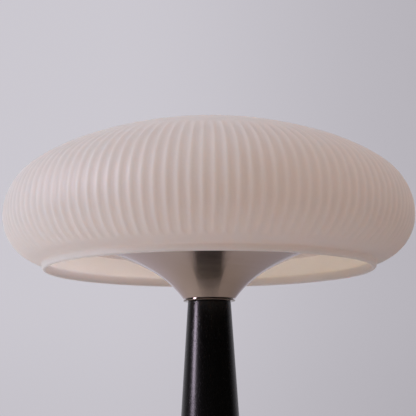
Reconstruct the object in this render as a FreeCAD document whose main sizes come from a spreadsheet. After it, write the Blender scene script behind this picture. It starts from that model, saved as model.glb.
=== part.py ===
import FreeCAD, Part

import math
import os
import re

import Sketcher

# Rechargeable table lamp: a fluted opal glass dome over a steel trumpet on a tapered wooden stem.
# Millimetres. +Z is up, -Y is the front, and the origin is the centre of the surface it stands on.

Vector = FreeCAD.Vector
UP = Vector(0, 0, 1)

# Driving dimensions

DIMENSIONS = {
    # Glass dome, with heights counted from the plane of its opening's rim
    "shade_radius": 150.0,
    "shade_equator": 38.5,
    "side_arc": 42.7,
    "side_angle": 54.3,
    "shoulder_arc": 135.0,
    "shoulder_angle": 67.4,
    "under_arc": 33.6,
    "under_angle": 50.3,
    "turn_arc": 36.4,
    "turn_angle": 77.2,
    "glass_wall": 3.0,
    "casing_wall": 1.2,
    "casing_end": 77.1,
    "rim_radius": 119.65,
    "bead_radius": 1.75,
    "rim_hollow": 1.6,
    # Flutes pressed into the outer layer of the glass
    "flute_count": 124,
    "flute_depth": 0.6,
    "flute_arc": 9.4,
    "flute_fade_arc": 170.0,
    "flute_fade_angle": 74.0,
    "flute_foot": 20.0,
    # Steel trumpet under the glass
    "neck_radius": 19.0,
    "neck_drop": 20.1,
    "neck_angle": 54.2,
    "cone_arc": 72.9,
    "cone_angle": 29.4,
    "pan_arc": 136.7,
    "pan_angle": 3.5,
    "sheet": 1.2,
    # Stem and its two rings
    "stem_length": 222.0,
    "stem_top_radius": 15.7,
    "stem_half_angle": 3.6,
    "top_ring_height": 2.0,
    "top_ring_radius": 18.9,
    "top_ring_rise": 0.2,
    "top_ring_lip": 0.8,
    "foot_ring_height": 3.0,
    "foot_ring_lip": 1.9,
    "ring_groove": 0.75,
    "groove_depth": 0.9,
    "neck_groove_depth": 1.5,
    "turned_edge": 0.4,
    # Foot
    "pad_height": 1.5,
    "foot_radius": 85.0,
    "foot_height": 30.0,
    "foot_round": 8.0,
    "foot_crown": 1.5,
    "foot_edge": 1.2,
    "foot_seat": 2.0,
    "foot_roof": 7.0,
    "cavity_radius": 68.0,
    "plate_radius": 77.8,
    "plate_height": 3.0,
    "plate_edge": 0.5,
    "pad_outer": 69.4,
    "pad_inner": 55.6,
    "ballast_radius": 66.5,
    "ballast_height": 9.0,
    "ballast_hole": 26.0,
    "ballast_edge": 1.0,
    "boss_radius": 3.0,
    "charge_boss_height": 1.5,
    "switch_boss_height": 2.5,
    # Screws, as radii; the heads of the first two lie flush in the bottom plate
    "plate_screw_circle": 73.0,
    "plate_screw_head": 3.3,
    "plate_screw_shank": 1.7,
    "plate_screw_length": 13.5,
    "plate_screw_hole": 14.0,
    "ballast_screw_circle": 46.0,
    "ballast_screw_head": 4.0,
    "ballast_screw_shank": 2.0,
    "ballast_screw_length": 11.0,
    "sink_depth": 0.05,
    "slot_width": 0.9,
    "slot_depth": 0.8,
    "board_screw_head": 2.4,
    "board_screw_shank": 1.25,
    "board_screw_length": 7.0,
    "board_screw_hole": 8.0,
    "led_screw_circle": 21.5,
    "led_screw_head": 2.6,
    "led_screw_shank": 1.5,
    "led_screw_length": 6.0,
    "pan_head_height": 1.5,
    "fine_slot_width": 0.5,
    "fine_slot_depth": 0.6,
    "tight_gap": 0.05,
    "slip_gap": 0.1,
    # Threaded tube that ties the lamp together
    "tube_radius": 5.0,
    "tube_bore": 3.5,
    "nut_size": 14.0,
    "nut_height": 3.0,
    "tube_end": 1.0,
    "washer_height": 1.0,
    "neck_washer_radius": 11.0,
    "foot_washer_radius": 12.0,
    "running_gap": 0.2,
    # Light unit inside the dome
    "tray_rise": 14.2,
    "tray_radius": 71.0,
    "tray_height": 2.0,
    "tray_edge": 0.6,
    "tray_lip_height": 4.0,
    "tray_lip_wall": 1.5,
    "diffuser_radius": 45.0,
    "diffuser_height": 29.8,
    "diffuser_wall": 2.0,
    "diffuser_round": 12.0,
    "board_radius": 34.0,
    "board_hole": 10.0,
    "board_height": 1.6,
    "chip_size": 3.0,
    "chip_height": 0.7,
    "terminal_size": 12.0,
    "terminal_height": 5.0,
    "frame_rod": 2.5,
    "frame_foot_radius": 54.0,
    "frame_stud": 5.0,
    "frame_knee": 28.0,
    "frame_bend": 22.0,
    "frame_collar": 3.5,
    "frame_collar_height": 1.5,
    "frame_nut_size": 8.0,
    "frame_nut_height": 3.9,
    "frame_ring_radius": 100.0,
    "frame_pad_radius": 4.3,
    "frame_pad_angle": 14.0,
    "rest_gap": 0.3,
    # Switch
    "button_place": 56.0,
    "button_radius": 7.0,
    "button_travel": 1.0,
    "button_rise": 0.4,
    "button_edge": 0.5,
    "button_border": 1.4,
    "button_skirt": 0.9,
    "button_skirt_drop": 1.8,
    "sleeve_wall": 1.2,
    "flange_width": 2.8,
    "flange_height": 0.5,
    "flange_bed": 0.35,
    "flange_round": 0.4,
    "switch_board_width": 24.0,
    "switch_board_depth": 16.0,
    "switch_size": 6.0,
    "switch_height": 3.3,
    "plunger_radius": 1.75,
    "plunger_height": 0.6,
    # Cells, charging board and port
    "cell_width": 36.0,
    "cell_length": 54.0,
    "cell_height": 9.8,
    "cell_round": 3.0,
    "cell_across": 38.0,
    "cell_forward": 8.0,
    "charge_board_width": 44.0,
    "charge_board_front": 38.0,
    "charge_board_back": 62.0,
    "tongue_width": 9.0,
    "tongue_end": 80.5,
    "socket_place": 74.7,
    "socket_width": 9.0,
    "socket_opening": 3.2,
    "socket_wall": 0.3,
    "socket_length": 7.3,
    "socket_back": 1.2,
    "contact_width": 6.6,
    "contact_height": 0.7,
    "contact_length": 6.0,
    "port_height": 18.2,
    "port_width": 13.0,
    "port_opening": 7.4,
    "bezel_place": 82.1,
    "bezel_margin": 0.5,
    "bezel_depth": 2.5,
    # Level of the leads over the boards, and of the long one where it turns up into the tube
    "lead_height": 18.8,
    "lamp_lead_dip": 9.5,
}

document = FreeCAD.newDocument("table_lamp")
sheet = document.addObject("Spreadsheet::Sheet", "dims")
for row, (word, number) in enumerate(DIMENSIONS.items(), start=1):
    sheet.set(f"A{row}", word)
    sheet.set(f"B{row}", str(number))
    sheet.setAlias(f"B{row}", word)
document.recompute()

NODES = []


# Helpers

def linked(expression):
    """The expression with each driving dimension read from the sheet."""
    def name(match):
        word = match.group()
        return f"dims.{word}" if word in DIMENSIONS else word
    return re.sub(r"[a-z_]+", name, str(expression))


def value(expression):
    """The number that an expression of driving dimensions gives now."""
    return float(sheet.evalExpression(str(expression)))


def new_body(label, rise="0", along_y="0"):
    """An empty body whose own origin stands at a height above the table."""
    body = document.addObject("PartDesign::Body", label)
    body.Label = label
    body.AllowCompound = True
    body.setExpression("Placement.Base.y", linked(along_y))
    body.setExpression("Placement.Base.z", linked(rise))
    NODES.append(body)
    return body


def origin_part(body, role):
    return next(item for item in body.Origin.OriginFeatures if item.Role == role)


def new_sketch(body, plane="XZ_Plane", lift="0"):
    """A sketch on one of the body's own origin planes, lifted along that plane's normal."""
    sketch = body.newObject("Sketcher::SketchObject", "Sketch")
    sketch.AttachmentSupport = [(origin_part(body, plane), "")]
    sketch.MapMode = "FlatFace"
    sketch.setExpression("AttachmentOffset.Base.z", linked(lift))
    return sketch


def bind(sketch, constraint, expression):
    index = sketch.addConstraint(constraint)
    sketch.setExpression(f"Constraints[{index}]", linked(expression))


def pin_point(sketch, geometry, point, place):
    """Hold a point of a sketch at the two coordinates given as expressions."""
    for kind, expression in zip(("DistanceX", "DistanceY"), place):
        bind(sketch, Sketcher.Constraint(kind, -1, 1, geometry, point, value(expression)), expression)


def arc_between(start, stop, radius, turns_left):
    """The shorter arc of a radius from one point to another."""
    chord = stop - start
    side = Vector(-chord.y, chord.x, 0).normalize()
    reach = math.sqrt(max(radius ** 2 - (chord.Length / 2) ** 2, 0.0))
    centre = (start + stop) / 2 + side * (reach if turns_left else -reach)
    first, last = (start, stop) if turns_left else (stop, start)
    angles = [math.atan2(end.y - centre.y, end.x - centre.x) for end in (first, last)]
    if angles[1] < angles[0]:
        angles[1] += 2 * math.pi
    return Part.ArcOfCircle(Part.Circle(centre, UP, radius), angles[0], angles[1])


def draw(sketch, outline, closed=True):
    """Draw an outline of corners (x, y), or (x, y, side, radius) where an arc leads on to the next.

    The side is "left" or "right", the way the arc turns.
    """
    corners = [Vector(value(corner[0]), value(corner[1]), 0) for corner in outline]
    pieces = []
    for number, corner in enumerate(outline):
        if number == len(outline) - 1 and not closed:
            break
        start = corners[number]
        stop = corners[(number + 1) % len(corners)]
        if len(corner) == 2:
            geometry = sketch.addGeometry(Part.LineSegment(start, stop), False)
            pieces.append((geometry, 1, 2))
            continue
        left = corner[2] == "left"
        geometry = sketch.addGeometry(arc_between(start, stop, value(corner[3]), left), False)
        pieces.append((geometry, 1, 2) if left else (geometry, 2, 1))
    for number, (geometry, first, last) in enumerate(pieces):
        if number + 1 < len(pieces) or closed:
            following = pieces[(number + 1) % len(pieces)]
            sketch.addConstraint(
                Sketcher.Constraint("Coincident", geometry, last, following[0], following[1]))
        pin_point(sketch, geometry, first, outline[number][:2])
        if len(outline[number]) > 2:
            radius = outline[number][3]
            bind(sketch, Sketcher.Constraint("Radius", geometry, value(radius)), radius)
    if not closed:
        geometry, first, last = pieces[-1]
        pin_point(sketch, geometry, last, outline[-1][:2])


def draw_circle(sketch, radius, x="0", y="0"):
    circle = Part.Circle(Vector(value(x), value(y), 0), UP, value(radius))
    geometry = sketch.addGeometry(circle, False)
    pin_point(sketch, geometry, 3, (x, y))
    bind(sketch, Sketcher.Constraint("Radius", geometry, value(radius)), radius)


def box_outline(width, depth, x="0", y="0"):
    """The corners of a rectangle centred on a point."""
    signs = ((-1, -1), (1, -1), (1, 1), (-1, 1))
    return [(f"({x}) + {a} * ({width}) / 2", f"({y}) + {b} * ({depth}) / 2") for a, b in signs]


def slot_outline(width, depth, x="0", y="0"):
    """A slot with round ends, lying along the first axis."""
    half = f"(({width}) - ({depth})) / 2"
    end = f"({depth}) / 2"
    return [
        (f"({x}) - {half}", f"({y}) - {end}"),
        (f"({x}) + {half}", f"({y}) - {end}", "left", end),
        (f"({x}) + {half} + {end}", y, "left", end),
        (f"({x}) + {half}", f"({y}) + {end}"),
        (f"({x}) - {half}", f"({y}) + {end}", "left", end),
        (f"({x}) - {half} - {end}", y, "left", end),
    ]


def hexagon_outline(across, x="0"):
    corner = f"({across}) / 2 / cos(30)"
    return [(f"({x}) + {corner} * cos({60 * side})", f"{corner} * sin({60 * side})") for side in range(6)]


def finish(body, feature):
    body.Tip = feature
    document.recompute()
    return feature


def turn(body, sketch, angle="360"):
    """Turn a sketch of the XZ plane round the body's upright axis, half of the angle to each side."""
    feature = body.newObject("PartDesign::Revolution", "Turning")
    feature.Profile = sketch
    feature.ReferenceAxis = (sketch, ["V_Axis"])
    feature.Midplane = True
    feature.setExpression("Angle", linked(angle))
    return finish(body, feature)


def spin(body, outline):
    """Turn an outline once round the body's upright axis."""
    sketch = new_sketch(body)
    draw(sketch, outline)
    return turn(body, sketch)


def raise_up(body, sketch, height, down=False, name="Plate"):
    feature = body.newObject("PartDesign::Pad", name)
    feature.Profile = sketch
    feature.setExpression("Length", linked(height))
    feature.Reversed = down
    return finish(body, feature)


def pocket(body, sketch, depth=None, upward=False):
    """Cut a sketch's outline out of the body and make sure that something was removed."""
    before = body.Shape.Volume
    feature = body.newObject("PartDesign::Pocket", "Opening")
    feature.Profile = sketch
    feature.Reversed = upward
    if depth is None:
        feature.Type = "ThroughAll"
    else:
        feature.setExpression("Length", linked(depth))
    finish(body, feature)
    if body.Shape.Volume >= before:
        raise RuntimeError(f"{body.Label}: an opening removes nothing")
    return feature


def repeat(body, features, count, refine=True):
    """Repeat features evenly round the body's upright axis."""
    pattern = body.newObject("PartDesign::PolarPattern", "Round")
    pattern.Originals = features
    pattern.Refine = refine
    pattern.Axis = (origin_part(body, "Z_Axis"), [""])
    pattern.Angle = 360.0
    pattern.setExpression("Occurrences", linked(count))
    return finish(body, pattern)


def washer(label, rise, outer):
    """A flat washer on the threaded tube, its outer edges broken."""
    body = new_body(label, rise)
    inner = "tube_radius + tight_gap"
    edge = "washer_height / 8"
    spin(body, [
        (inner, "0"),
        (f"{outer} - {edge}", "0"),
        (outer, edge),
        (outer, f"washer_height - {edge}"),
        (f"{outer} - {edge}", "washer_height"),
        (inner, "washer_height"),
    ])
    return body


def hex_nut(label, rise):
    """A flat hexagon nut on the threaded tube."""
    body = new_body(label, rise)
    sketch = new_sketch(body, "XY_Plane")
    draw(sketch, hexagon_outline("nut_size"))
    draw_circle(sketch, "tube_radius + tight_gap")
    raise_up(body, sketch, "nut_height")
    return body


SHARE_OF_RUN = 0.45


def lead(label, points, diameter):
    """A round lead along straight runs, each corner rounded as widely as its runs allow."""
    points = [Vector(*[value(part) for part in point]) for point in points]
    edges = []
    radii = []
    start = points[0]
    for before, corner, after in zip(points, points[1:], points[2:]):
        into = (corner - before).normalize()
        out = (after - corner).normalize()
        cut = SHARE_OF_RUN * min((corner - before).Length, (after - corner).Length)
        half_turn = into.getAngle(out) / 2
        radii.append(cut / math.tan(half_turn))
        bisector = (out - into).normalize()
        middle = corner + bisector * (radii[-1] / math.cos(half_turn) - radii[-1])
        edges.append(Part.LineSegment(start, corner - into * cut).toShape())
        edges.append(Part.Arc(corner - into * cut, middle, corner + out * cut).toShape())
        start = corner + out * cut
    edges.append(Part.LineSegment(start, points[-1]).toShape())
    path = Part.Wire(edges)
    direction = points[1] - points[0]
    section = Part.Wire(Part.makeCircle(diameter / 2, points[0], direction))
    solid = path.makePipeShell([section], True, False)
    expected = math.pi * diameter ** 2 / 4 * path.Length
    print(f"{label}: radii {[round(radius, 1) for radius in radii]} mm, length {path.Length:.1f} mm,"
          f" volume {solid.Volume / expected:.4f} of section times length")
    return solid


def add_shape(label, shape):
    feature = document.addObject("Part::Feature", label)
    feature.Label = label
    feature.Shape = shape
    feature.Placement = FreeCAD.Placement()
    NODES.append(feature)
    return feature


# Levels that follow from the driving dimensions

FOOT_TOP = "(pad_height + foot_height)"
STEM_BASE = f"({FOOT_TOP} + foot_ring_height)"
STEM_TOP = f"({STEM_BASE} + stem_length)"
RIM = f"({STEM_TOP} + top_ring_height + neck_drop)"
STEM_BASE_RADIUS = "(stem_top_radius + stem_length * tan(stem_half_angle))"
ROOF = "(pad_height + foot_height - foot_roof)"
BALLAST_TOP = "(pad_height + plate_height + ballast_height)"
TRAY_TOP = f"({RIM} + tray_rise + tray_height)"


def on_arc(centre, radius, angle):
    """A point on an arc, as expressions; the angle counts up from the horizontal."""
    return (f"({centre[0]} + ({radius}) * cos({angle}))", f"({centre[1]} + ({radius}) * sin({angle}))")


# Centres of the arcs that the outside and the inside of the glass share
SIDE_CENTRE = ("(shade_radius - side_arc)", "shade_equator")
SHOULDER_CENTRE = on_arc(SIDE_CENTRE, "side_arc - shoulder_arc", "side_angle")
SHOULDER_END = on_arc(SHOULDER_CENTRE, "shoulder_arc", "shoulder_angle")
CROWN_ARC = f"({SHOULDER_END[0]} / cos(shoulder_angle))"
CROWN_CENTRE = ("0", f"({SHOULDER_END[1]} - {CROWN_ARC} * sin(shoulder_angle))")
UNDER_CENTRE = ("(shade_radius - under_arc)", "shade_equator")
TURN_CENTRE = on_arc(UNDER_CENTRE, "under_arc - turn_arc", "-under_angle")


def dome_up(inset, end_angle):
    """The dome's arcs from near its rim up to the crown, at a depth inside the outer surface."""
    return [
        (*on_arc(TURN_CENTRE, f"turn_arc - {inset}", f"-{end_angle}"), "left", f"turn_arc - {inset}"),
        (*on_arc(UNDER_CENTRE, f"under_arc - {inset}", "-under_angle"), "left", f"under_arc - {inset}"),
        (f"shade_radius - {inset}", "shade_equator", "left", f"side_arc - {inset}"),
        (*on_arc(SIDE_CENTRE, f"side_arc - {inset}", "side_angle"), "left", f"shoulder_arc - {inset}"),
        (*on_arc(SHOULDER_CENTRE, f"shoulder_arc - {inset}", "shoulder_angle"), "left",
         f"{CROWN_ARC} - {inset}"),
        ("0", f"{CROWN_CENTRE[1]} + {CROWN_ARC} - {inset}"),
    ]


def dome_down(inset):
    """The same arcs from the crown down to the foot of the under arc, where the turn begins."""
    return [
        ("0", f"{CROWN_CENTRE[1]} + {CROWN_ARC} - {inset}", "right", f"{CROWN_ARC} - {inset}"),
        (*on_arc(SHOULDER_CENTRE, f"shoulder_arc - {inset}", "shoulder_angle"), "right",
         f"shoulder_arc - {inset}"),
        (*on_arc(SIDE_CENTRE, f"side_arc - {inset}", "side_angle"), "right", f"side_arc - {inset}"),
        (f"shade_radius - {inset}", "shade_equator", "right", f"under_arc - {inset}"),
        (*on_arc(UNDER_CENTRE, f"under_arc - {inset}", "-under_angle"), "right", f"turn_arc - {inset}"),
    ]


def glass_shade():
    """White opal body of the dome, with the bead at its rim."""
    body = new_body("glass_shade", RIM)
    outer_lip = "rim_radius + bead_radius"
    inner_lip = "rim_radius - bead_radius"
    turn_end = on_arc(TURN_CENTRE, "turn_arc", "-turn_angle")
    hollow_level = f"{turn_end[1]} - rim_hollow * sin(turn_angle)"
    inner_turn = "turn_arc - glass_wall"
    lip_reach = f"({inner_lip} + bead_radius - {TURN_CENTRE[0]})"
    inner_top = (f"{inner_lip} + bead_radius",
                 f"{TURN_CENTRE[1]} - sqrt(({inner_turn}) * ({inner_turn}) - {lip_reach} * {lip_reach})")
    spin(body, [
        ("rim_radius", "0", "left", "bead_radius"),
        (outer_lip, "bead_radius"),
        (outer_lip, hollow_level, "right", "rim_hollow"),
        turn_end,
        *dome_up("(casing_wall + tight_gap)", "turn_angle"),
        *dome_down("glass_wall"),
        (*inner_top, "left", "bead_radius * 1.2"),
        (inner_lip, f"{inner_top[1]} - bead_radius * 1.3"),
        (inner_lip, "bead_radius", "left", "bead_radius"),
    ])
    return body


def glass_casing():
    """Satin outer layer over the opal body, with shallow hollow flutes that fade out above the rim
    and at the shoulder."""
    body = new_body("glass_casing", RIM)
    spin(body, [
        *dome_up("0", "casing_end"),
        *dome_down("casing_wall"),
        on_arc(TURN_CENTRE, "turn_arc - casing_wall", "-casing_end"),
    ])
    axis_gap = "(flute_arc - flute_depth)"
    fade_centre = on_arc(SIDE_CENTRE, "side_arc - flute_depth - flute_fade_arc", "side_angle")
    foot_start = on_arc(UNDER_CENTRE, f"under_arc + {axis_gap}", "-under_angle")
    foot_end = (f"{foot_start[0]} - flute_foot * sin(under_angle)",
                f"{foot_start[1]} - flute_foot * cos(under_angle)")
    path = new_sketch(body)
    draw(path, [
        foot_end,
        (*foot_start, "left", f"under_arc + {axis_gap}"),
        (f"shade_radius + {axis_gap}", "shade_equator", "left", f"side_arc + {axis_gap}"),
        (*on_arc(SIDE_CENTRE, f"side_arc + {axis_gap}", "side_angle"), "left",
         "flute_fade_arc + flute_arc"),
        on_arc(fade_centre, "flute_fade_arc + flute_arc", "flute_fade_angle"),
    ], closed=False)
    section = body.newObject("Sketcher::SketchObject", "Sketch")
    section.AttachmentSupport = [(path, "Edge1")]
    section.MapMode = "NormalToEdge"
    section.MapPathParameter = 0.0
    document.recompute()
    geometry = section.addGeometry(Part.Circle(Vector(), UP, value("flute_arc")), False)
    section.addConstraint(Sketcher.Constraint("Coincident", geometry, 3, -1, 1))
    bind(section, Sketcher.Constraint("Radius", geometry, value("flute_arc")), "flute_arc")
    flute = body.newObject("PartDesign::SubtractivePipe", "Flute")
    flute.Profile = section
    flute.Spine = path
    flute.Refine = False
    faces = len(body.Shape.Faces)
    finish(body, flute)
    if len(body.Shape.Faces) == faces:
        raise RuntimeError("the flute cuts nothing")
    repeat(body, [flute], "flute_count", refine=False)
    return body


# Centres of the two arcs of the trumpet's underside
CONE_CENTRE = ("(neck_radius + cone_arc * sin(neck_angle))", "(-neck_drop - cone_arc * cos(neck_angle))")
PAN_CENTRE = (f"({CONE_CENTRE[0]} + (pan_arc - cone_arc) * sin(cone_angle))",
              f"({CONE_CENTRE[1]} - (pan_arc - cone_arc) * cos(cone_angle))")


def on_trumpet(centre, radius, slope):
    """A point of the trumpet where its wall climbs at the slope given."""
    return (f"({centre[0]} - ({radius}) * sin({slope}))", f"({centre[1]} + ({radius}) * cos({slope}))")


def trumpet():
    """Spun steel trumpet that flares from the neck into a wide, nearly flat pan."""
    body = new_body("trumpet", RIM)
    floor = "(sheet - neck_drop)"
    floor_rise = f"({floor} - {CONE_CENTRE[1]})"
    inner_arc = "(cone_arc + sheet)"
    floor_edge = f"{CONE_CENTRE[0]} - sqrt({inner_arc} * {inner_arc} - {floor_rise} * {floor_rise})"
    hole = "tube_radius + running_gap"
    spin(body, [
        (hole, "-neck_drop"),
        ("neck_radius", "-neck_drop", "right", "cone_arc"),
        (*on_trumpet(CONE_CENTRE, "cone_arc", "cone_angle"), "right", "pan_arc"),
        (*on_trumpet(PAN_CENTRE, "pan_arc", "pan_angle"), "left", "sheet * 0.51"),
        (*on_trumpet(PAN_CENTRE, "pan_arc + sheet", "pan_angle"), "left", "pan_arc + sheet"),
        (*on_trumpet(CONE_CENTRE, "cone_arc + sheet", "cone_angle"), "left", "cone_arc + sheet"),
        (floor_edge, floor),
        (hole, floor),
    ])
    return body


def top_ring():
    """Turned ring between trumpet and stem, its polished lip set off by a groove on each side."""
    body = new_body("top_ring", STEM_TOP)
    lip = "(top_ring_lip / 2)"
    upper = "top_ring_rise + top_ring_lip"
    spin(body, [
        ("tube_radius + running_gap", "0"),
        ("stem_top_radius - groove_depth", "0"),
        ("stem_top_radius - groove_depth", "top_ring_rise"),
        (f"top_ring_radius - {lip}", "top_ring_rise", "left", lip),
        ("top_ring_radius", f"top_ring_rise + {lip}", "left", lip),
        (f"top_ring_radius - {lip}", upper),
        ("neck_radius - neck_groove_depth", upper),
        ("neck_radius - neck_groove_depth", "top_ring_height"),
        ("tube_radius + running_gap", "top_ring_height"),
    ])
    return body


def foot_ring():
    """Turned ring between stem and foot, like the one at the top."""
    body = new_body("foot_ring", FOOT_TOP)
    lip = "((foot_ring_height - ring_groove) / 2)"
    edge = f"({STEM_BASE_RADIUS} + foot_ring_lip)"
    upper = "foot_ring_height - ring_groove"
    spin(body, [
        ("tube_radius + running_gap", "0"),
        (f"{edge} - {lip}", "0", "left", lip),
        (edge, lip, "left", lip),
        (f"{edge} - {lip}", upper),
        (f"{STEM_BASE_RADIUS} - groove_depth", upper),
        (f"{STEM_BASE_RADIUS} - groove_depth", "foot_ring_height"),
        ("tube_radius + running_gap", "foot_ring_height"),
    ])
    return body


def stem():
    """Tapered turned stem, bored for the threaded tube, its ends just broken."""
    body = new_body("stem", STEM_BASE)
    spin(body, [
        ("tube_radius + running_gap", "0"),
        (f"{STEM_BASE_RADIUS} - turned_edge", "0"),
        (STEM_BASE_RADIUS, "turned_edge"),
        ("stem_top_radius", "stem_length - turned_edge"),
        ("stem_top_radius - turned_edge", "stem_length"),
        ("tube_radius + running_gap", "stem_length"),
    ])
    return body


def around(radius, angles):
    """Places on a circle, for groups of screws and holes."""
    return [(f"{radius} * cos({angle})", f"{radius} * sin({angle})", "0") for angle in angles]


PLATE_SCREWS = around("plate_screw_circle", (45, 135, 225, 315))
BALLAST_SCREWS = around("ballast_screw_circle", (30, 150, 270))
LED_SCREWS = around("led_screw_circle", (0, 120, 240))
FRAME_FEET = around("frame_foot_radius", (90, 210, 330))


def holes(body, places, radius, upward=True, depth=None, lift="0"):
    sketch = new_sketch(body, "XY_Plane", lift)
    for x, y, _ in places:
        draw_circle(sketch, radius, x, y)
    return pocket(body, sketch, depth, upward)


def foot():
    """Turned wooden foot, hollow underneath, with the switch hole in front and the port behind."""
    body = new_body("foot", "pad_height")
    roof = "foot_height - foot_roof"
    shoulder = "foot_height - foot_crown"
    seat = f"{STEM_BASE_RADIUS} + foot_ring_lip + foot_seat"
    spin(body, [
        ("plate_radius + running_gap", "0"),
        ("foot_radius - foot_edge", "0"),
        ("foot_radius", "foot_edge"),
        ("foot_radius", f"{shoulder} - foot_round", "left", "foot_round"),
        ("foot_radius - foot_round", shoulder),
        (seat, "foot_height"),
        ("tube_radius + running_gap", "foot_height"),
        ("tube_radius + running_gap", roof),
        ("cavity_radius", roof),
        ("cavity_radius", "plate_height"),
        ("plate_radius + running_gap", "plate_height"),
    ])
    holes(body, [("0", "-button_place", "0")], "button_radius + sleeve_wall + slip_gap")
    holes(body, PLATE_SCREWS, "plate_screw_shank + tight_gap", depth="plate_screw_hole")
    port = new_sketch(body)
    draw(port, slot_outline("port_width", "port_opening", y="port_height - pad_height"))
    pocket(body, port)
    return body


SINK_ANGLE = 45.0


def bottom_plate():
    """Steel plate that closes the foot, with countersunk holes."""
    body = new_body("bottom_plate", "pad_height")
    spin(body, [
        ("0", "0"),
        ("plate_radius - plate_edge", "0"),
        ("plate_radius", "plate_edge"),
        ("plate_radius", "plate_height"),
        ("0", "plate_height"),
    ])
    for places, screw in ((PLATE_SCREWS, "plate_screw"), (BALLAST_SCREWS, "ballast_screw")):
        head = f"({screw}_head + slip_gap)"
        shank = f"({screw}_shank + running_gap)"
        holes(body, places, shank)
        sketch = new_sketch(body, "XY_Plane")
        for x, y, _ in places:
            draw_circle(sketch, head, x, y)
        countersink = pocket(body, sketch, f"{head} - {shank}", upward=True)
        countersink.TaperAngle = -SINK_ANGLE
        finish(body, countersink)
    return body


def sunk_screws(label, places, screw):
    """Countersunk screws set into the plate from below; screw is the word before their sizes."""
    body = new_body(label, "pad_height + sink_depth")
    sketch = new_sketch(body, "XY_Plane")
    for x, y, _ in places:
        draw_circle(sketch, f"{screw}_shank", x, y)
    raise_up(body, sketch, f"{screw}_length", name="Shank")
    crown = new_sketch(body, "XY_Plane")
    for x, y, _ in places:
        draw_circle(crown, f"{screw}_head", x, y)
    cone = raise_up(body, crown, f"{screw}_head - {screw}_shank", name="Head")
    cone.TaperAngle = -SINK_ANGLE
    finish(body, cone)
    drive = new_sketch(body, "XY_Plane")
    for x, y, _ in places:
        draw(drive, box_outline(f"{screw}_head * 1.1", "slot_width", x, y))
    pocket(body, drive, "slot_depth", upward=True)
    return body


CHARGE_BOARD_PLACES = [("-17", "58", "0"), ("17", "58", "0")]
SWITCH_BOARD_PLACES = [("-9", "-button_place", "0"), ("9", "-button_place", "0")]
BETWEEN_BOARDS = "(switch_boss_height - charge_boss_height)"


def ballast():
    """Cast iron weight in the foot, with raised bosses for the two circuit boards."""
    body = new_body("ballast", "pad_height + plate_height")
    spin(body, [
        ("ballast_hole", "0"),
        ("ballast_radius - ballast_edge", "0"),
        ("ballast_radius", "ballast_edge"),
        ("ballast_radius", "ballast_height - ballast_edge"),
        ("ballast_radius - ballast_edge", "ballast_height"),
        ("ballast_hole", "ballast_height"),
    ])
    for places, board in ((CHARGE_BOARD_PLACES, "charge"), (SWITCH_BOARD_PLACES, "switch")):
        bosses = new_sketch(body, "XY_Plane", "ballast_height - ballast_edge")
        for x, y, _ in places:
            draw_circle(bosses, "boss_radius", x, y)
        raise_up(body, bosses, f"{board}_boss_height + ballast_edge", name="Bosses")
    holes(body, BALLAST_SCREWS, "ballast_screw_shank + tight_gap")
    holes(body, CHARGE_BOARD_PLACES + SWITCH_BOARD_PLACES, "board_screw_shank + tight_gap", upward=False,
          depth="board_screw_hole", lift="ballast_height + switch_boss_height")
    return body


def foot_pad():
    """Soft ring that the lamp stands on."""
    body = new_body("foot_pad")
    spin(body, [
        ("pad_inner + turned_edge", "0"),
        ("pad_outer - turned_edge", "0"),
        ("pad_outer", "turned_edge"),
        ("pad_outer", "pad_height"),
        ("pad_inner", "pad_height"),
        ("pad_inner", "turned_edge"),
    ])
    return body


def pan_screws(label, rise, places, screw):
    """Pan-head screws, heads up, slotted; screw is the word before their sizes."""
    body = new_body(label, rise)
    for x, y, lift in places:
        shaft = new_sketch(body, "XY_Plane", lift)
        draw_circle(shaft, f"{screw}_shank", x, y)
        raise_up(body, shaft, f"{screw}_length", down=True, name="Shank")
        cap = new_sketch(body, "XY_Plane", lift)
        draw_circle(cap, f"{screw}_head", x, y)
        raise_up(body, cap, "pan_head_height", name="Head")
    for x, y, lift in places:
        drive = new_sketch(body, "XY_Plane", f"{lift} + pan_head_height")
        draw(drive, box_outline(f"{screw}_head * 1.3", "fine_slot_width", x, y))
        pocket(body, drive, "fine_slot_depth")
    return body


def batteries():
    """Two flat rechargeable cells side by side on the weight."""
    body = new_body("battery_cells", f"{BALLAST_TOP} + running_gap")
    sketch = new_sketch(body, "XY_Plane")
    for side in ("-1", "1"):
        draw(sketch, box_outline("cell_width", "cell_length", f"{side} * cell_across", "-cell_forward"))
    cells = raise_up(body, sketch, "cell_height", name="Cells")
    long_edges = [f"Edge{number}" for number, edge in enumerate(cells.Shape.Edges, start=1)
                  if round(abs(edge.tangentAt(edge.FirstParameter).y)) == 1]
    rounding = body.newObject("PartDesign::Fillet", "Rounding")
    rounding.Base = (cells, long_edges)
    rounding.setExpression("Radius", linked("cell_round"))
    finish(body, rounding)
    return body


def charge_board():
    """Charging and driver board, with a tongue that carries the port."""
    body = new_body("charge_board", f"{BALLAST_TOP} + charge_boss_height")
    sketch = new_sketch(body, "XY_Plane")
    edge = "charge_board_width / 2"
    tongue = "tongue_width / 2"
    draw(sketch, [
        (f"-{edge}", "charge_board_front"),
        (edge, "charge_board_front"),
        (edge, "charge_board_back"),
        (tongue, "charge_board_back"),
        (tongue, "tongue_end"),
        (f"-{tongue}", "tongue_end"),
        (f"-{tongue}", "charge_board_back"),
        (f"-{edge}", "charge_board_back"),
    ])
    for x, y, _ in CHARGE_BOARD_PLACES:
        draw_circle(sketch, "board_screw_shank + slip_gap", x, y)
    raise_up(body, sketch, "board_height")
    return body


CHARGE_BOARD_TOP = f"({BALLAST_TOP} + charge_boss_height + board_height)"
SWITCH_BOARD_TOP = f"({BALLAST_TOP} + switch_boss_height + board_height)"
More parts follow.
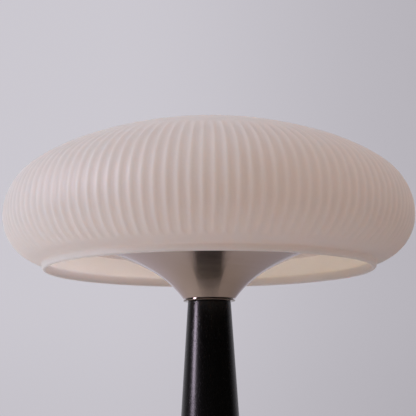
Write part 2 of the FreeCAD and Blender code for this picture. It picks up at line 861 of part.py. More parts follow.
# Places and sizes of the boxes on the boards: x, y, width, depth, height, lift
BOARD_PARTS = {
    "coil": ("-9", "53", "7", "7", "4", "0"),
    "driver chip": ("5", "54", "5", "5", "1.2", "0"),
    "cell guard": ("-18", "47", "4", "4", "1", "0"),
    "capacitor": ("0", "47", "3", "5", "1.5", "0"),
    "diode": ("12", "50", "4", "3", "1.8", "0"),
}
CONNECTORS = {
    "lamp": ("0", "40.5", "6", "5", "4.4", "0"),
    "left cell": ("-17", "40.5", "5", "5", "4.4", "0"),
    "right cell": ("17", "40.5", "5", "5", "4.4", "0"),
    "switch": ("9", "40.5", "4.4", "5", "4.4", "0"),
    "switch board": ("9", "-50.4", "4.4", "4.8", "3.2", BETWEEN_BOARDS),
}


def blocks(label, parts):
    """Separate box-shaped pieces on the boards."""
    body = new_body(label, CHARGE_BOARD_TOP)
    for x, y, width, depth, height, lift in parts.values():
        sketch = new_sketch(body, "XY_Plane", lift)
        draw(sketch, box_outline(width, depth, x, y))
        raise_up(body, sketch, height, name="Block")
    return body


def usb_socket():
    """Metal shell of the charging socket with its contact tongue inside."""
    body = new_body("charge_socket", "port_height", "socket_place")
    shell = new_sketch(body)
    draw(shell, slot_outline("socket_width", "socket_opening"))
    draw(shell, slot_outline("socket_width - 2 * socket_wall", "socket_opening - 2 * socket_wall"))
    raise_up(body, shell, "socket_length", down=True, name="Shell")
    back = new_sketch(body)
    draw(back, slot_outline("socket_width - socket_wall", "socket_opening - socket_wall"))
    raise_up(body, back, "socket_back", down=True, name="Back")
    tongue = new_sketch(body)
    draw(tongue, box_outline("contact_width", "contact_height"))
    raise_up(body, tongue, "contact_length", down=True, name="Tongue")
    return body


def port_bezel():
    """Steel surround set into the back of the foot."""
    body = new_body("port_bezel", "port_height", "bezel_place")
    sketch = new_sketch(body)
    draw(sketch, slot_outline("port_width - slip_gap", "port_opening - slip_gap"))
    draw(sketch, slot_outline("socket_width + bezel_margin", "socket_opening + bezel_margin"))
    raise_up(body, sketch, "bezel_depth", down=True, name="Surround")
    return body


def switch_board():
    body = new_body("switch_board", f"{BALLAST_TOP} + switch_boss_height")
    sketch = new_sketch(body, "XY_Plane")
    draw(sketch, box_outline("switch_board_width", "switch_board_depth", "0", "-button_place"))
    for x, y, _ in SWITCH_BOARD_PLACES:
        draw_circle(sketch, "board_screw_shank + slip_gap", x, y)
    raise_up(body, sketch, "board_height")
    return body


def tact_switch():
    """Small switch under the button, with its round plunger."""
    body = new_body("tact_switch", SWITCH_BOARD_TOP, "-button_place")
    case = new_sketch(body, "XY_Plane")
    draw(case, box_outline("switch_size", "switch_size"))
    raise_up(body, case, "switch_height", name="Case")
    plunger = new_sketch(body, "XY_Plane", "switch_height")
    draw_circle(plunger, "plunger_radius")
    raise_up(body, plunger, "plunger_height", name="Plunger")
    return body


def button_bezel():
    """Steel sleeve with a thin flange that lines the switch hole."""
    body = new_body("button_bezel", ROOF, "-button_place")
    bore = "button_radius + slip_gap"
    rim = "button_radius + flange_width"
    flange_top = "(foot_roof + flange_height)"
    spin(body, [
        (bore, "0"),
        ("button_radius + sleeve_wall", "0"),
        ("button_radius + sleeve_wall", "foot_roof - flange_bed"),
        (rim, "foot_roof - flange_bed"),
        (rim, f"{flange_top} - flange_round", "left", "flange_round"),
        (f"{rim} - flange_round", flange_top),
        (bore, flange_top),
    ])
    return body


def button():
    """Push button: shallow dished cap, and a skirt that keeps it under the sleeve."""
    body = new_body("button", ROOF, "-button_place")
    top = "(foot_roof + flange_height + button_travel + button_rise)"
    spin(body, [
        ("0", "-button_skirt_drop"),
        ("button_radius + button_skirt", "-button_skirt_drop"),
        ("button_radius + button_skirt", "-slip_gap"),
        ("button_radius", "-slip_gap"),
        ("button_radius", f"{top} - button_edge", "left", "button_edge"),
        ("button_radius - button_edge", top),
        ("button_radius - button_border", top),
        ("0", f"{top} - button_edge"),
    ])
    return body


def lamp_tube():
    """Threaded tube from under the foot's roof up to the light unit."""
    start = f"({ROOF} - washer_height - nut_height - tube_end)"
    body = new_body("lamp_tube", start)
    height = f"({TRAY_TOP} + nut_height - {start})"
    spin(body, [
        ("tube_bore", "0"),
        ("tube_radius - turned_edge", "0"),
        ("tube_radius", "turned_edge"),
        ("tube_radius", f"{height} - turned_edge"),
        ("tube_radius - turned_edge", height),
        ("tube_bore", height),
    ])
    return body


def light_tray():
    """Aluminium tray that rests in the trumpet, with a lip that holds the diffuser."""
    body = new_body("light_tray", f"{RIM} + tray_rise")
    lip = "diffuser_radius - diffuser_wall - slip_gap"
    spin(body, [
        ("tube_radius + running_gap", "0"),
        ("tray_radius - tray_edge", "0"),
        ("tray_radius", "tray_edge"),
        ("tray_radius", "tray_height"),
        (lip, "tray_height"),
        (lip, "tray_height + tray_lip_height"),
        (f"{lip} - tray_lip_wall", "tray_height + tray_lip_height"),
        (f"{lip} - tray_lip_wall", "tray_height"),
        ("tube_radius + running_gap", "tray_height"),
    ])
    holes(body, FRAME_FEET, "frame_rod + slip_gap")
    holes(body, LED_SCREWS, "led_screw_shank + tight_gap")
    return body


def led_board():
    body = new_body("led_board", TRAY_TOP)
    spin(body, [
        ("board_hole", "0"),
        ("board_radius", "0"),
        ("board_radius", "board_height"),
        ("board_hole", "board_height"),
    ])
    holes(body, LED_SCREWS, "led_screw_shank + slip_gap")
    return body


# Radius of each circle of chips, and how many stand on it
CHIP_CIRCLES = ((15.0, 8), (28.5, 16))


def led_chips():
    """Square light-emitting chips in two circles on the board."""
    body = new_body("led_chips", f"{TRAY_TOP} + board_height")
    for radius, count in CHIP_CIRCLES:
        sketch = new_sketch(body, "XY_Plane")
        half_step = 180.0 / count
        place = (f"{radius} * cos({half_step})", f"{radius} * sin({half_step})")
        draw(sketch, box_outline("chip_size", "chip_size", *place))
        chip = raise_up(body, sketch, "chip_height", name="Chip")
        repeat(body, [chip], str(count))
    return body


def led_terminal():
    """Terminal block on the end of the threaded tube, where the lead arrives."""
    body = new_body("led_terminal", f"{TRAY_TOP} + nut_height")
    sketch = new_sketch(body, "XY_Plane")
    draw(sketch, box_outline("terminal_size", "terminal_size"))
    raise_up(body, sketch, "terminal_height", name="Block")
    return body


def diffuser():
    """Opal cover over the light unit, a low drum with a rounded top edge."""
    body = new_body("diffuser", TRAY_TOP)
    flat = "diffuser_radius - diffuser_round"
    shoulder = "diffuser_height - diffuser_round"
    spin(body, [
        ("diffuser_radius - diffuser_wall", "0"),
        ("diffuser_radius", "0"),
        ("diffuser_radius", shoulder, "left", "diffuser_round"),
        (flat, "diffuser_height"),
        ("0", "diffuser_height"),
        ("0", "diffuser_height - diffuser_wall"),
        (flat, "diffuser_height - diffuser_wall", "right", "diffuser_round - diffuser_wall"),
        ("diffuser_radius - diffuser_wall", shoulder),
    ])
    return body


# Height of the frame's ring above the rim, so that its pads lie just under the glass
PAD_REACH = f"({CROWN_ARC} - glass_wall - frame_pad_radius - rest_gap)"
FRAME_RING_RISE = (f"({CROWN_CENTRE[1]} + sqrt({PAD_REACH} * {PAD_REACH}"
                   " - frame_ring_radius * frame_ring_radius))")


def shade_frame():
    """Welded wire frame that carries the glass: three bent rods under one ring."""
    body = new_body("shade_frame", f"{RIM} + tray_rise")
    body.Placement.Rotation = FreeCAD.Rotation(UP, 90)
    knee = "(tray_height + frame_knee)"
    lean = f"atan(({FRAME_RING_RISE} - tray_rise - {knee}) / (frame_ring_radius - frame_foot_radius))"
    half = f"((90 deg - {lean}) / 2)"
    cut = f"(frame_bend * tan({half}))"
    path = new_sketch(body)
    draw(path, [
        ("frame_foot_radius", "-frame_stud"),
        ("frame_foot_radius", f"{knee} - {cut}", "right", "frame_bend"),
        (f"frame_foot_radius + {cut} * cos({lean})", f"{knee} + {cut} * sin({lean})"),
        ("frame_ring_radius", f"{FRAME_RING_RISE} - tray_rise"),
    ], closed=False)
    section = new_sketch(body, "XY_Plane", "-frame_stud")
    draw_circle(section, "frame_rod", "frame_foot_radius", "0")
    document.recompute()
    rod = body.newObject("PartDesign::AdditivePipe", "Rod")
    rod.Profile = section
    rod.Spine = path
    finish(body, rod)
    collar = new_sketch(body, "XY_Plane", "tray_height")
    draw_circle(collar, "frame_rod + frame_collar", "frame_foot_radius", "0")
    collar = raise_up(body, collar, "frame_collar_height", name="Collar")
    repeat(body, [rod, collar], "3")
    ring = new_sketch(body)
    draw_circle(ring, "frame_rod", "frame_ring_radius", f"{FRAME_RING_RISE} - tray_rise")
    turn(body, ring)
    return body


def frame_nuts():
    """Nuts that hold the frame's rods under the tray."""
    body = new_body("frame_nuts", f"{RIM} + tray_rise - slip_gap")
    body.Placement.Rotation = FreeCAD.Rotation(UP, 90)
    sketch = new_sketch(body, "XY_Plane")
    draw(sketch, hexagon_outline("frame_nut_size", "frame_foot_radius"))
    draw_circle(sketch, "frame_rod + tight_gap", "frame_foot_radius", "0")
    nut = raise_up(body, sketch, "frame_nut_height", down=True, name="Nut")
    repeat(body, [nut], "3")
    return body


def frame_pads():
    """Soft sleeves on the ring, between the rods, that the glass sits on."""
    body = new_body("frame_pads", RIM)
    body.Placement.Rotation = FreeCAD.Rotation(UP, 30)
    sketch = new_sketch(body)
    draw_circle(sketch, "frame_pad_radius", "frame_ring_radius", FRAME_RING_RISE)
    draw_circle(sketch, "frame_rod + tight_gap", "frame_ring_radius", FRAME_RING_RISE)
    sleeve = turn(body, sketch, "frame_pad_angle")
    repeat(body, [sleeve], "3")
    return body


# The pieces, from the top of the lamp down

glass_shade()
glass_casing()
shade_frame()
frame_pads()
frame_nuts()
diffuser()
led_terminal()
led_chips()
led_board()
pan_screws("led_screws", f"{TRAY_TOP} + board_height", LED_SCREWS, "led_screw")
light_tray()
hex_nut("tray_nut", TRAY_TOP)
hex_nut("neck_nut", f"{RIM} - neck_drop + sheet + washer_height")
washer("neck_washer", f"{RIM} - neck_drop + sheet", "neck_washer_radius")
trumpet()
lamp_tube()
top_ring()
stem()
foot_ring()
foot()
washer("foot_washer", f"{ROOF} - washer_height", "foot_washer_radius")
hex_nut("foot_nut", f"{ROOF} - washer_height - nut_height")
button_bezel()
button()
tact_switch()
switch_board()
charge_board()
usb_socket()
port_bezel()
batteries()
ballast()
bottom_plate()
sunk_screws("plate_screws", PLATE_SCREWS, "plate_screw")
sunk_screws("ballast_screws", BALLAST_SCREWS, "ballast_screw")
foot_pad()
switch_board_places = [(x, y, BETWEEN_BOARDS) for x, y, _ in SWITCH_BOARD_PLACES]
pan_screws("board_screws", CHARGE_BOARD_TOP, CHARGE_BOARD_PLACES + switch_board_places, "board_screw")
blocks("board_parts", BOARD_PARTS)
blocks("wire_connectors", CONNECTORS)

# Leads inside the lamp, each a list of points on its route and then its diameter
add_shape("lamp_lead", lead("lamp_lead", [
    ("0", "38", "lead_height"),
    ("0", "29", "lead_height"),
    ("0", "17", "lamp_lead_dip"),
    ("0", "0", "lamp_lead_dip"),
    ("0", "0", f"{TRAY_TOP} + nut_height"),
], 2.4))
cell_leads = [lead(f"cell_lead {side}", [
    (f"{side} * 24", "19", "lead_height"),
    (f"{side} * 24", "26", "lead_height"),
    (f"{side} * 17", "31", "lead_height"),
    (f"{side} * 17", "38", "lead_height"),
], 2.0) for side in (-1, 1)]
add_shape("cell_leads", Part.makeCompound(cell_leads))
add_shape("switch_lead", lead("switch_lead", [
    ("9", "-48", "lead_height"),
    ("9", "-36", "lead_height"),
    ("13", "-16", "lead_height"),
    ("13", "8", "lead_height"),
    ("9", "27", "lead_height"),
    ("9", "38", "lead_height"),
], 1.8))

# Check every object, then write one file per piece

document.recompute()
for item in document.Objects:
    faults = [state for state in item.State if state in ("Invalid", "Error")]
    if faults:
        raise RuntimeError(f"{item.Label}: {faults}")
os.makedirs("parts", exist_ok=True)
for node in NODES:
    if node.Shape.isNull() or not node.Shape.isValid() or not node.Shape.Solids:
        raise RuntimeError(f"{node.Label}: not a valid solid")
    node.Shape.exportStep(f"parts/{node.Label}.step")
    box = node.Shape.BoundBox
    print(f"{node.Label}: {len(node.Shape.Solids)} solid(s), z {box.ZMin:.2f} to {box.ZMax:.2f},"
          f" volume {node.Shape.Volume / 1000:.2f} cm3")
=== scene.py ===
# %% [markdown]
# # A rechargeable table lamp
# The lamp in the photograph has a fluted dome of satin opal glass over a flared steel trumpet, a thin
# polished ring and a tapered stem of black open-pored wood. Its solids come from the CAD model. This
# lesson adds the camera, the light, the fluted glass and a finish for every piece.

# %% Load the model
import math

import bmesh
import bpy
from mathutils import Matrix, Vector


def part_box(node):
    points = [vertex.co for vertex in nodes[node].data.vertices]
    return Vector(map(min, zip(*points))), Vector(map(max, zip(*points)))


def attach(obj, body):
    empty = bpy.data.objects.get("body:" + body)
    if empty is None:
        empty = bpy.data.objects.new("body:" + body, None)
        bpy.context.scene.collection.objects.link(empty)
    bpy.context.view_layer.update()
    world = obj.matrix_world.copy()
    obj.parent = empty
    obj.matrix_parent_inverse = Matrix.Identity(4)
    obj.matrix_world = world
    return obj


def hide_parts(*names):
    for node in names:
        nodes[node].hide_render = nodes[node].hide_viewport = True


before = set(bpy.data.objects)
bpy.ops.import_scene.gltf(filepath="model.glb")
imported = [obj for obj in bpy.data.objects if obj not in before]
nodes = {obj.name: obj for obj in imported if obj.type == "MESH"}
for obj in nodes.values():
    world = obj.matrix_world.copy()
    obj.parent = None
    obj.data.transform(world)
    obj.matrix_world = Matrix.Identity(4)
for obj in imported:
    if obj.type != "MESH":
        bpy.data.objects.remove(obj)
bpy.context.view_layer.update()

# %% [markdown]
# ## Camera
# The photograph was taken from about 0.8 m in front of the lamp, with the lens below the rim of the glass and
# looking slightly up. The distance was found from the spacing of the flutes, which crowd together towards
# the sides faster when the camera is near. The camera also leans a little to one side, as a hand-held one
# does, and so does the stem in the picture.

# %% Camera
SIDE = -0.0005
AWAY = 0.7886
EYE_HEIGHT = 0.1922
LOOK_UP = math.radians(9.62)
LEAN = -0.007
LENS = 93.46
NEAREST_SEEN = 0.01

bpy.ops.object.camera_add(location=(SIDE, -AWAY, EYE_HEIGHT))
camera = bpy.context.object
camera.name = "camera"
camera.data.lens = LENS
camera.data.clip_start = NEAREST_SEEN
turned = Matrix.Rotation(math.pi / 2 + LOOK_UP, 3, "X") @ Matrix.Rotation(LEAN, 3, "Z")
camera.rotation_euler = turned.to_euler()
bpy.context.scene.camera = camera
bpy.context.scene.view_settings.view_transform = "Standard"
print("camera", round(AWAY, 3), "m in front, lens", LENS, "mm")

# %% [markdown]
# ## Helpers for node trees
# A material is a small network of nodes. These helpers add one node with its values and links in one
# line, so that each finish below reads like a recipe.

# %% Node helpers
def add(tree, kind, inputs=None, **settings):
    """Add a node, with a value or a link for each input named by its label or number."""
    node = tree.nodes.new("ShaderNode" + kind)
    for key, choice in settings.items():
        setattr(node, key, choice)
    for key, source in (inputs or {}).items():
        if isinstance(source, bpy.types.NodeSocket):
            tree.links.new(source, node.inputs[key])
        else:
            node.inputs[key].default_value = source
    return node


def calc(tree, operation, *values, clamp=False):
    """One step of arithmetic on values or sockets."""
    return add(tree, "Math", dict(enumerate(values)), operation=operation, use_clamp=clamp).outputs[0]


def vector_calc(tree, operation, *values):
    return add(tree, "VectorMath", dict(enumerate(values)), operation=operation).outputs[0]


def ramp(tree, value, low, high, to_low=0.0, to_high=1.0, kind="SMOOTHSTEP"):
    """Map a value from one span to another, holding still outside it."""
    inputs = {"Value": value, "From Min": low, "From Max": high, "To Min": to_low, "To Max": to_high}
    return add(tree, "MapRange", inputs, interpolation_type=kind).outputs[0]


def blend_colours(tree, share, first, second):
    """Mix two colours by a share from 0 to 1."""
    return add(tree, "Mix", {0: share, 6: first, 7: second}, data_type="RGBA").outputs[2]


def new_group(name, inputs, outputs):
    """An empty group of nodes, with its entry and its exit."""
    group = bpy.data.node_groups.new(name, "ShaderNodeTree")
    for label, kind, start in inputs:
        socket = group.interface.new_socket(label, in_out="INPUT", socket_type="NodeSocket" + kind)
        socket.default_value = start
    for label, kind in outputs:
        group.interface.new_socket(label, in_out="OUTPUT", socket_type="NodeSocket" + kind)
    return group, group.nodes.new("NodeGroupInput").outputs, group.nodes.new("NodeGroupOutput").inputs


def place_group(tree, group, values):
    """Put a group into a material with its own values."""
    node = add(tree, "Group", node_tree=group)
    for label, source in values.items():
        if isinstance(source, bpy.types.NodeSocket):
            tree.links.new(source, node.inputs[label])
        else:
            node.inputs[label].default_value = source
    return node


print("node helpers ready")

# %% [markdown]
# ## Room light
# The lamp stands in a plain room with a pale lavender-grey background, a little darker to the right and at
# the bottom. Soft light falls mostly from above, and it is warmer from the sides, where it comes off walls
# and furniture. The world gives the background to the camera and to reflections, and the soft light to
# everything else, so the picture stays plain without more light on the object. The black stem shows that
# the room is dark behind the camera: it mirrors the pale backdrop only at its edges. So reflections that
# look towards the camera's side find a dim room, with a paler ceiling above it.

# %% World
BLACK = (0.0, 0.0, 0.0, 1.0)
BACK_LEFT = (0.600, 0.580, 0.630, 1.0)
BACK_RIGHT = (0.468, 0.450, 0.491, 1.0)
ROOM_LEFT = (0.300, 0.200, 0.065, 1.0)
ROOM_RIGHT = (0.390, 0.290, 0.240, 1.0)
ROOM_TOP = (0.675, 0.625, 0.665, 1.0)
DIM_ROOM = (0.012, 0.0115, 0.012, 1.0)
# How much of the backdrop's tone the ceiling mirrors, and how much black the backdrop gets at its foot
CEILING = 0.4
LOWER_SHADE = 0.07
# Between these parts of a direction along X, Y or Z one tone blends into another
DARKER_SPAN = (-0.10, 0.24)
LOWER_SPAN = (0.1, -0.05)
BACKDROP_SPAN = (0.1, 0.95)
CEILING_SPAN = (0.25, 0.8)

world = bpy.data.worlds.new("room")
world.use_nodes = True
bpy.context.scene.world = world
tree = world.node_tree
direction = add(tree, "TexCoord").outputs["Generated"]
way = add(tree, "SeparateXYZ", {0: direction}).outputs
backdrop = blend_colours(tree, ramp(tree, way["X"], *DARKER_SPAN), BACK_LEFT, BACK_RIGHT)
backdrop = blend_colours(tree, ramp(tree, way["Z"], *LOWER_SPAN, 0.0, LOWER_SHADE), backdrop, BLACK)
path = add(tree, "LightPath").outputs
overhead = ramp(tree, way["Z"], *CEILING_SPAN, 0.0, CEILING)
pale = calc(tree, "MAXIMUM", ramp(tree, way["Y"], *BACKDROP_SPAN), overhead)
pale = calc(tree, "MAXIMUM", pale, calc(tree, "SUBTRACT", 1.0, path["Is Glossy Ray"]))
around = blend_colours(tree, pale, DIM_ROOM, backdrop)
seen = calc(tree, "MAXIMUM", path["Is Camera Ray"], path["Is Glossy Ray"])
seen = calc(tree, "MAXIMUM", seen, path["Is Transmission Ray"])
room = blend_colours(tree, ramp(tree, way["X"], -1.0, 1.0, kind="LINEAR"), ROOM_LEFT, ROOM_RIGHT)
room = blend_colours(tree, ramp(tree, way["Z"], 0.0, 1.0, kind="LINEAR"), room, ROOM_TOP)
tree.links.new(blend_colours(tree, seen, room, around), tree.nodes["Background"].inputs["Color"])
print("room light from the left", ROOM_LEFT[:3], "right", ROOM_RIGHT[:3], "top", ROOM_TOP[:3])

# %% [markdown]
# ## Light from the window
# A tall cool window to the left of the camera lights the left side of the glass. It also draws the bright
# stripe down the black stem and the spot on the polished ring. Reflections show the window itself, which is
# brighter and pinker than what its curtain lets fall on the lamp, so two area lights do the same, one
# just in front of the other: one that only lights, and one that only shows in reflections. Both are hidden
# from the camera, so that they don't show in views from the other side.

# %% Light from the window
HEADING = math.radians(74)
AIM_HEIGHT = 0.3
WINDOW_WIDTH = 0.55
WINDOW_HEIGHT = 1.5
# Name, distance from the lamp, height of the middle, watts and colour
WINDOW_LIGHTS = (("window", 2.2, 0.85, 18.8, (0.61, 0.76, 0.985)),
                 ("window_reflection", 2.15, 1.08, 38.0, (0.945, 0.81, 1.0)))

for name, distance, height, watts, colour in WINDOW_LIGHTS:
    place = Vector((-math.sin(HEADING) * distance, -math.cos(HEADING) * distance, height))
    bpy.ops.object.light_add(type="AREA", location=place)
    light = bpy.context.object
    light.name = name
    light.rotation_euler = (Vector((0, 0, AIM_HEIGHT)) - place).to_track_quat("-Z", "Y").to_euler()
    light.data.shape = "RECTANGLE"
    light.data.size = WINDOW_WIDTH
    light.data.size_y = WINDOW_HEIGHT
    light.data.energy = watts
    light.data.color = colour
    light.visible_camera = False
    light.visible_glossy = name == "window_reflection"
    light.visible_diffuse = light.visible_transmission = name != "window_reflection"
    print(name, "at", [round(number, 2) for number in place])

# %% [markdown]
# ## Light under the crown
# Opal glass passes on about a third of the light that falls on it, so the inside of the dome is filled with
# a soft glow from its bright crown. Following each ray through the glass takes very many samples. Two discs
# of light under the crown that face down stand in for it, a warm one in the middle and a cool one towards
# the window. They ride on the shade, so they rise with it.

# %% Light under the crown
CROWN_LIGHT_HEIGHT = 0.367
# Place along X, radius, watts and colour
CROWN_LIGHTS = ((0.0, 0.055, 0.073, (1.0, 0.89, 0.60)), (-0.03, 0.035, 0.066, (0.72, 0.73, 1.0)))

for off_axis, radius, watts, colour in CROWN_LIGHTS:
    bpy.ops.object.light_add(type="AREA", location=(off_axis, 0, CROWN_LIGHT_HEIGHT))
    glow = bpy.context.object
    glow.name = "crown_glow"
    glow.data.shape = "DISK"
    glow.data.size = 2 * radius
    glow.data.energy = watts
    glow.data.color = colour
    glow.visible_camera = False
    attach(glow, "shade")
    print("light under the crown, radius", radius, "m,", watts, "W")

# %% [markdown]
# ## Light off the table
# The window brightens the table on its own side of the lamp, and that patch lights the rim of the glass from
# below. A small disc of light just above the floor does the same.

# %% Light off the table
TABLE_LIGHT_PLACE = (-0.35, -0.05, 0.005)
TABLE_LIGHT_RADIUS = 0.25
TABLE_LIGHT_WATTS = 0.23
TABLE_LIGHT_COLOUR = (0.98, 1.0, 0.91)

bpy.ops.object.light_add(type="AREA", location=TABLE_LIGHT_PLACE, rotation=(math.pi, 0, 0))
table_glow = bpy.context.object
table_glow.name = "table_glow"
table_glow.data.shape = "DISK"
table_glow.data.size = 2 * TABLE_LIGHT_RADIUS
table_glow.data.energy = TABLE_LIGHT_WATTS
table_glow.data.color = TABLE_LIGHT_COLOUR
table_glow.visible_camera = False
table_glow.visible_glossy = False
print("light off the table, radius", TABLE_LIGHT_RADIUS, "m")

# %% [markdown]
# ## Floor
# A pale round floor catches the shadow of the foot and is what the steel trumpet mirrors. The trumpet is
# darker on the right in the photograph, so the floor's colour gets painted shade away from the window. It
# fades out towards its edge, so that no horizon line shows behind the lamp in views from above, and from
# below it is clear, so that the underside of the foot can be looked at.

# %% Floor
FLOOR_RADIUS = 2.1
FADE_FROM = 0.8
FADE_TO = 2.0
SHADE_FROM = -0.1
SHADE_TO = 0.5
FLOOR_COLOUR = (0.74, 0.70, 0.70, 1.0)
CLOUDY_FLOOR_COLOUR = (0.70, 0.66, 0.66, 1.0)
SHADED_FLOOR_COLOUR = (0.40, 0.375, 0.37, 1.0)

bpy.ops.mesh.primitive_circle_add(vertices=96, radius=FLOOR_RADIUS, fill_type="NGON")
floor = bpy.context.object
floor.name = "floor"
floor_paint = bpy.data.materials.new("pale floor")
floor_paint.use_nodes = True
tree = floor_paint.node_tree
shader = tree.nodes["Principled BSDF"]
shader.inputs["Roughness"].default_value = 0.7
shader.inputs["Specular IOR Level"].default_value = 0.1
spot = add(tree, "TexCoord").outputs["Object"]
cloud = add(tree, "TexNoise", {"Vector": spot, "Scale": 2.0, "Detail": 4.0}).outputs[0]
tone = blend_colours(tree, cloud, FLOOR_COLOUR, CLOUDY_FLOOR_COLOUR)
# Painted shade: the floor's colour darkens away from the window, towards +X
painted_shade_share = ramp(tree, add(tree, "SeparateXYZ", {0: spot}).outputs["X"], SHADE_FROM, SHADE_TO)
tree.links.new(blend_colours(tree, painted_shade_share, tone, SHADED_FLOOR_COLOUR), shader.inputs["Base Color"])
reach = add(tree, "VectorMath", {0: spot}, operation="LENGTH").outputs["Value"]
clear = add(tree, "BsdfTransparent").outputs[0]
from_below = add(tree, "NewGeometry").outputs["Backfacing"]
gone = calc(tree, "MAXIMUM", ramp(tree, reach, FADE_FROM, FADE_TO), from_below)
fade = add(tree, "MixShader", {0: gone, 1: shader.outputs[0], 2: clear})
tree.links.new(fade.outputs[0], tree.nodes["Material Output"].inputs["Surface"])
floor.data.materials.append(floor_paint)
print("floor", FLOOR_RADIUS, "m in radius")

# %% [markdown]
# ## Effects that several finishes share
# Real surfaces are never one flat colour. Three effects repeat on this lamp, so each is a group of nodes,
# built once: a cloudy tone with a fine grain in it, the fine circles that turning and spinning leave round
# an axis, and the brighter metal along worn edges.

# %% Cloudy tone
# A noise texture seldom leaves this span, so it is stretched from there to 0 and 1.
NOISE_SPAN = (0.3, 0.7)

cloudy, given, result = new_group(
    "cloudy_tone",
    [("Vector", "Vector", (0, 0, 0)), ("Light", "Color", (1, 1, 1, 1)), ("Dark", "Color", (0, 0, 0, 1)),
     ("Patches", "Float", 20.0), ("Grain", "Float", 400.0), ("Grain Share", "Float", 0.4)],
    [("Colour", "Color"), ("Value", "Float")])
patches = add(cloudy, "TexNoise", {"Vector": given["Vector"], "Scale": given["Patches"], "Detail": 3.0})
grain = add(cloudy, "TexNoise", {"Vector": given["Vector"], "Scale": given["Grain"], "Detail": 2.0})
both = add(cloudy, "Mix", {0: given["Grain Share"], 2: patches.outputs[0], 3: grain.outputs[0]})
even = ramp(cloudy, both.outputs[0], *NOISE_SPAN, kind="LINEAR")
cloudy.links.new(even, result["Value"])
cloudy.links.new(blend_colours(cloudy, even, given["Dark"], given["Light"]), result["Colour"])
print("group", cloudy.name)

# %% Turning lines
# The circles follow the distance from the upright axis plus the height, so they run round flat faces and
# upright ones alike. The direction enters as its sine and cosine, which leaves no seam. Broader bands run
# between the fine lines and take the larger share of the tone.
BROADER = 0.05
BAND_SHARE = 0.6

turning, given, result = new_group(
    "turning_lines",
    [("Vector", "Vector", (0, 0, 0)), ("Lines", "Float", 3000.0), ("Length", "Float", 3.0)],
    [("Height", "Float"), ("Tone", "Float")])
flat_part = vector_calc(turning, "MULTIPLY", given["Vector"], (1, 1, 0))
heading = vector_calc(turning, "NORMALIZE", flat_part)
round_way = add(turning, "SeparateXYZ", {0: heading}).outputs
distance = add(turning, "VectorMath", {0: flat_part}, operation="LENGTH").outputs["Value"]
rise = add(turning, "SeparateXYZ", {0: given["Vector"]}).outputs["Z"]
step = calc(turning, "MULTIPLY", calc(turning, "ADD", distance, rise), given["Lines"])
where = add(turning, "CombineXYZ", {"X": calc(turning, "MULTIPLY", round_way["X"], given["Length"]),
                                    "Y": calc(turning, "MULTIPLY", round_way["Y"], given["Length"]),
                                    "Z": step}).outputs[0]
lines = add(turning, "TexNoise", {"Vector": where, "Scale": 1.0, "Detail": 3.0, "Roughness": 0.6}).outputs[0]
broad = calc(turning, "MULTIPLY", step, BROADER)
where_broad = add(turning, "CombineXYZ", {"X": round_way["X"], "Y": round_way["Y"], "Z": broad}).outputs[0]
bands = add(turning, "TexNoise", {"Vector": where_broad, "Scale": 1.0, "Detail": 2.0}).outputs[0]
turning.links.new(ramp(turning, lines, 0.25, 0.75, kind="LINEAR"), result["Height"])
line_part = calc(turning, "MULTIPLY", lines, 1 - BAND_SHARE)
tone = calc(turning, "MULTIPLY_ADD", bands, BAND_SHARE, line_part)
turning.links.new(ramp(turning, tone, *NOISE_SPAN, kind="LINEAR"), result["Tone"])
print("group", turning.name)

# %% Worn edges
# A Bevel node rounds the normal near an edge. Where that turns away from the true normal there is an edge, and
# noise breaks the mask up, as rubbing does.
worn, given, result = new_group(
    "worn_edges", [("Width", "Float", 0.0005), ("Vector", "Vector", (0, 0, 0))], [("Mask", "Float")])
rounded = add(worn, "Bevel", {"Radius": given["Width"]}, samples=4).outputs[0]
true_normal = add(worn, "NewGeometry").outputs["Normal"]
turn = add(worn, "VectorMath", {0: rounded, 1: true_normal}, operation="DOT_PRODUCT").outputs["Value"]
edge = ramp(worn, turn, 0.995, 0.86)
rubbed = add(worn, "TexNoise", {"Vector": given["Vector"], "Scale": 260.0, "Detail": 3.0}).outputs[0]
worn.links.new(calc(worn, "MULTIPLY", edge, ramp(worn, rubbed, 0.3, 0.65), clamp=True), result["Mask"])
print("group", worn.name)

# %% [markdown]
# ## A finish to start from
# Each finish begins the same way: the cloudy tone sets the colour, the roughness swings a little with it,
# and a shallow bump gives the grain some depth. Numbers that are the same all over go straight to the
# shader. What is special to a material is then added after it.

# %% Start of a finish
def roughen(tree, shader, value, at_low, at_high):
    """Let a value from 0 to 1 set the roughness."""
    tree.links.new(ramp(tree, value, 0.0, 1.0, at_low, at_high, kind="LINEAR"), shader.inputs["Roughness"])


def recolour(tree, shader, share, colour):
    """Blend what feeds the base colour towards another colour."""
    now = shader.inputs["Base Color"].links[0].from_socket
    tree.links.new(blend_colours(tree, share, now, colour), shader.inputs["Base Color"])


def begin(name, light, dark, patches, grain, share, depth, rough=None, swing=0.0, centre=(0, 0, 0), **plain):
    """A material with a cloudy colour, a swinging roughness and a grain of some depth in metres.

    Patches and grain are the scales of the two noises, and share is the weight of the grain."""
    material = bpy.data.materials.new(name)
    material.use_nodes = True
    tree = material.node_tree
    shader = tree.nodes["Principled BSDF"]
    for label, number in plain.items():
        shader.inputs[label.replace("_", " ")].default_value = number
    spot = add(tree, "TexCoord").outputs["Object"]
    if any(centre):
        spot = add(tree, "Mapping", {"Vector": spot, "Location": [-number for number in centre]}).outputs[0]
    tone = place_group(tree, cloudy, {"Vector": spot, "Light": (*light, 1), "Dark": (*dark, 1),
                                      "Patches": patches, "Grain": grain, "Grain Share": share}).outputs
    tree.links.new(tone["Colour"], shader.inputs["Base Color"])
    if rough is not None:
        roughen(tree, shader, tone["Value"], rough + swing, rough - swing)
    bump = add(tree, "Bump", {"Strength": 1.0, "Distance": depth, "Height": tone["Value"]})
    tree.links.new(bump.outputs[0], shader.inputs["Normal"])
    return material, tree, shader, spot, bump


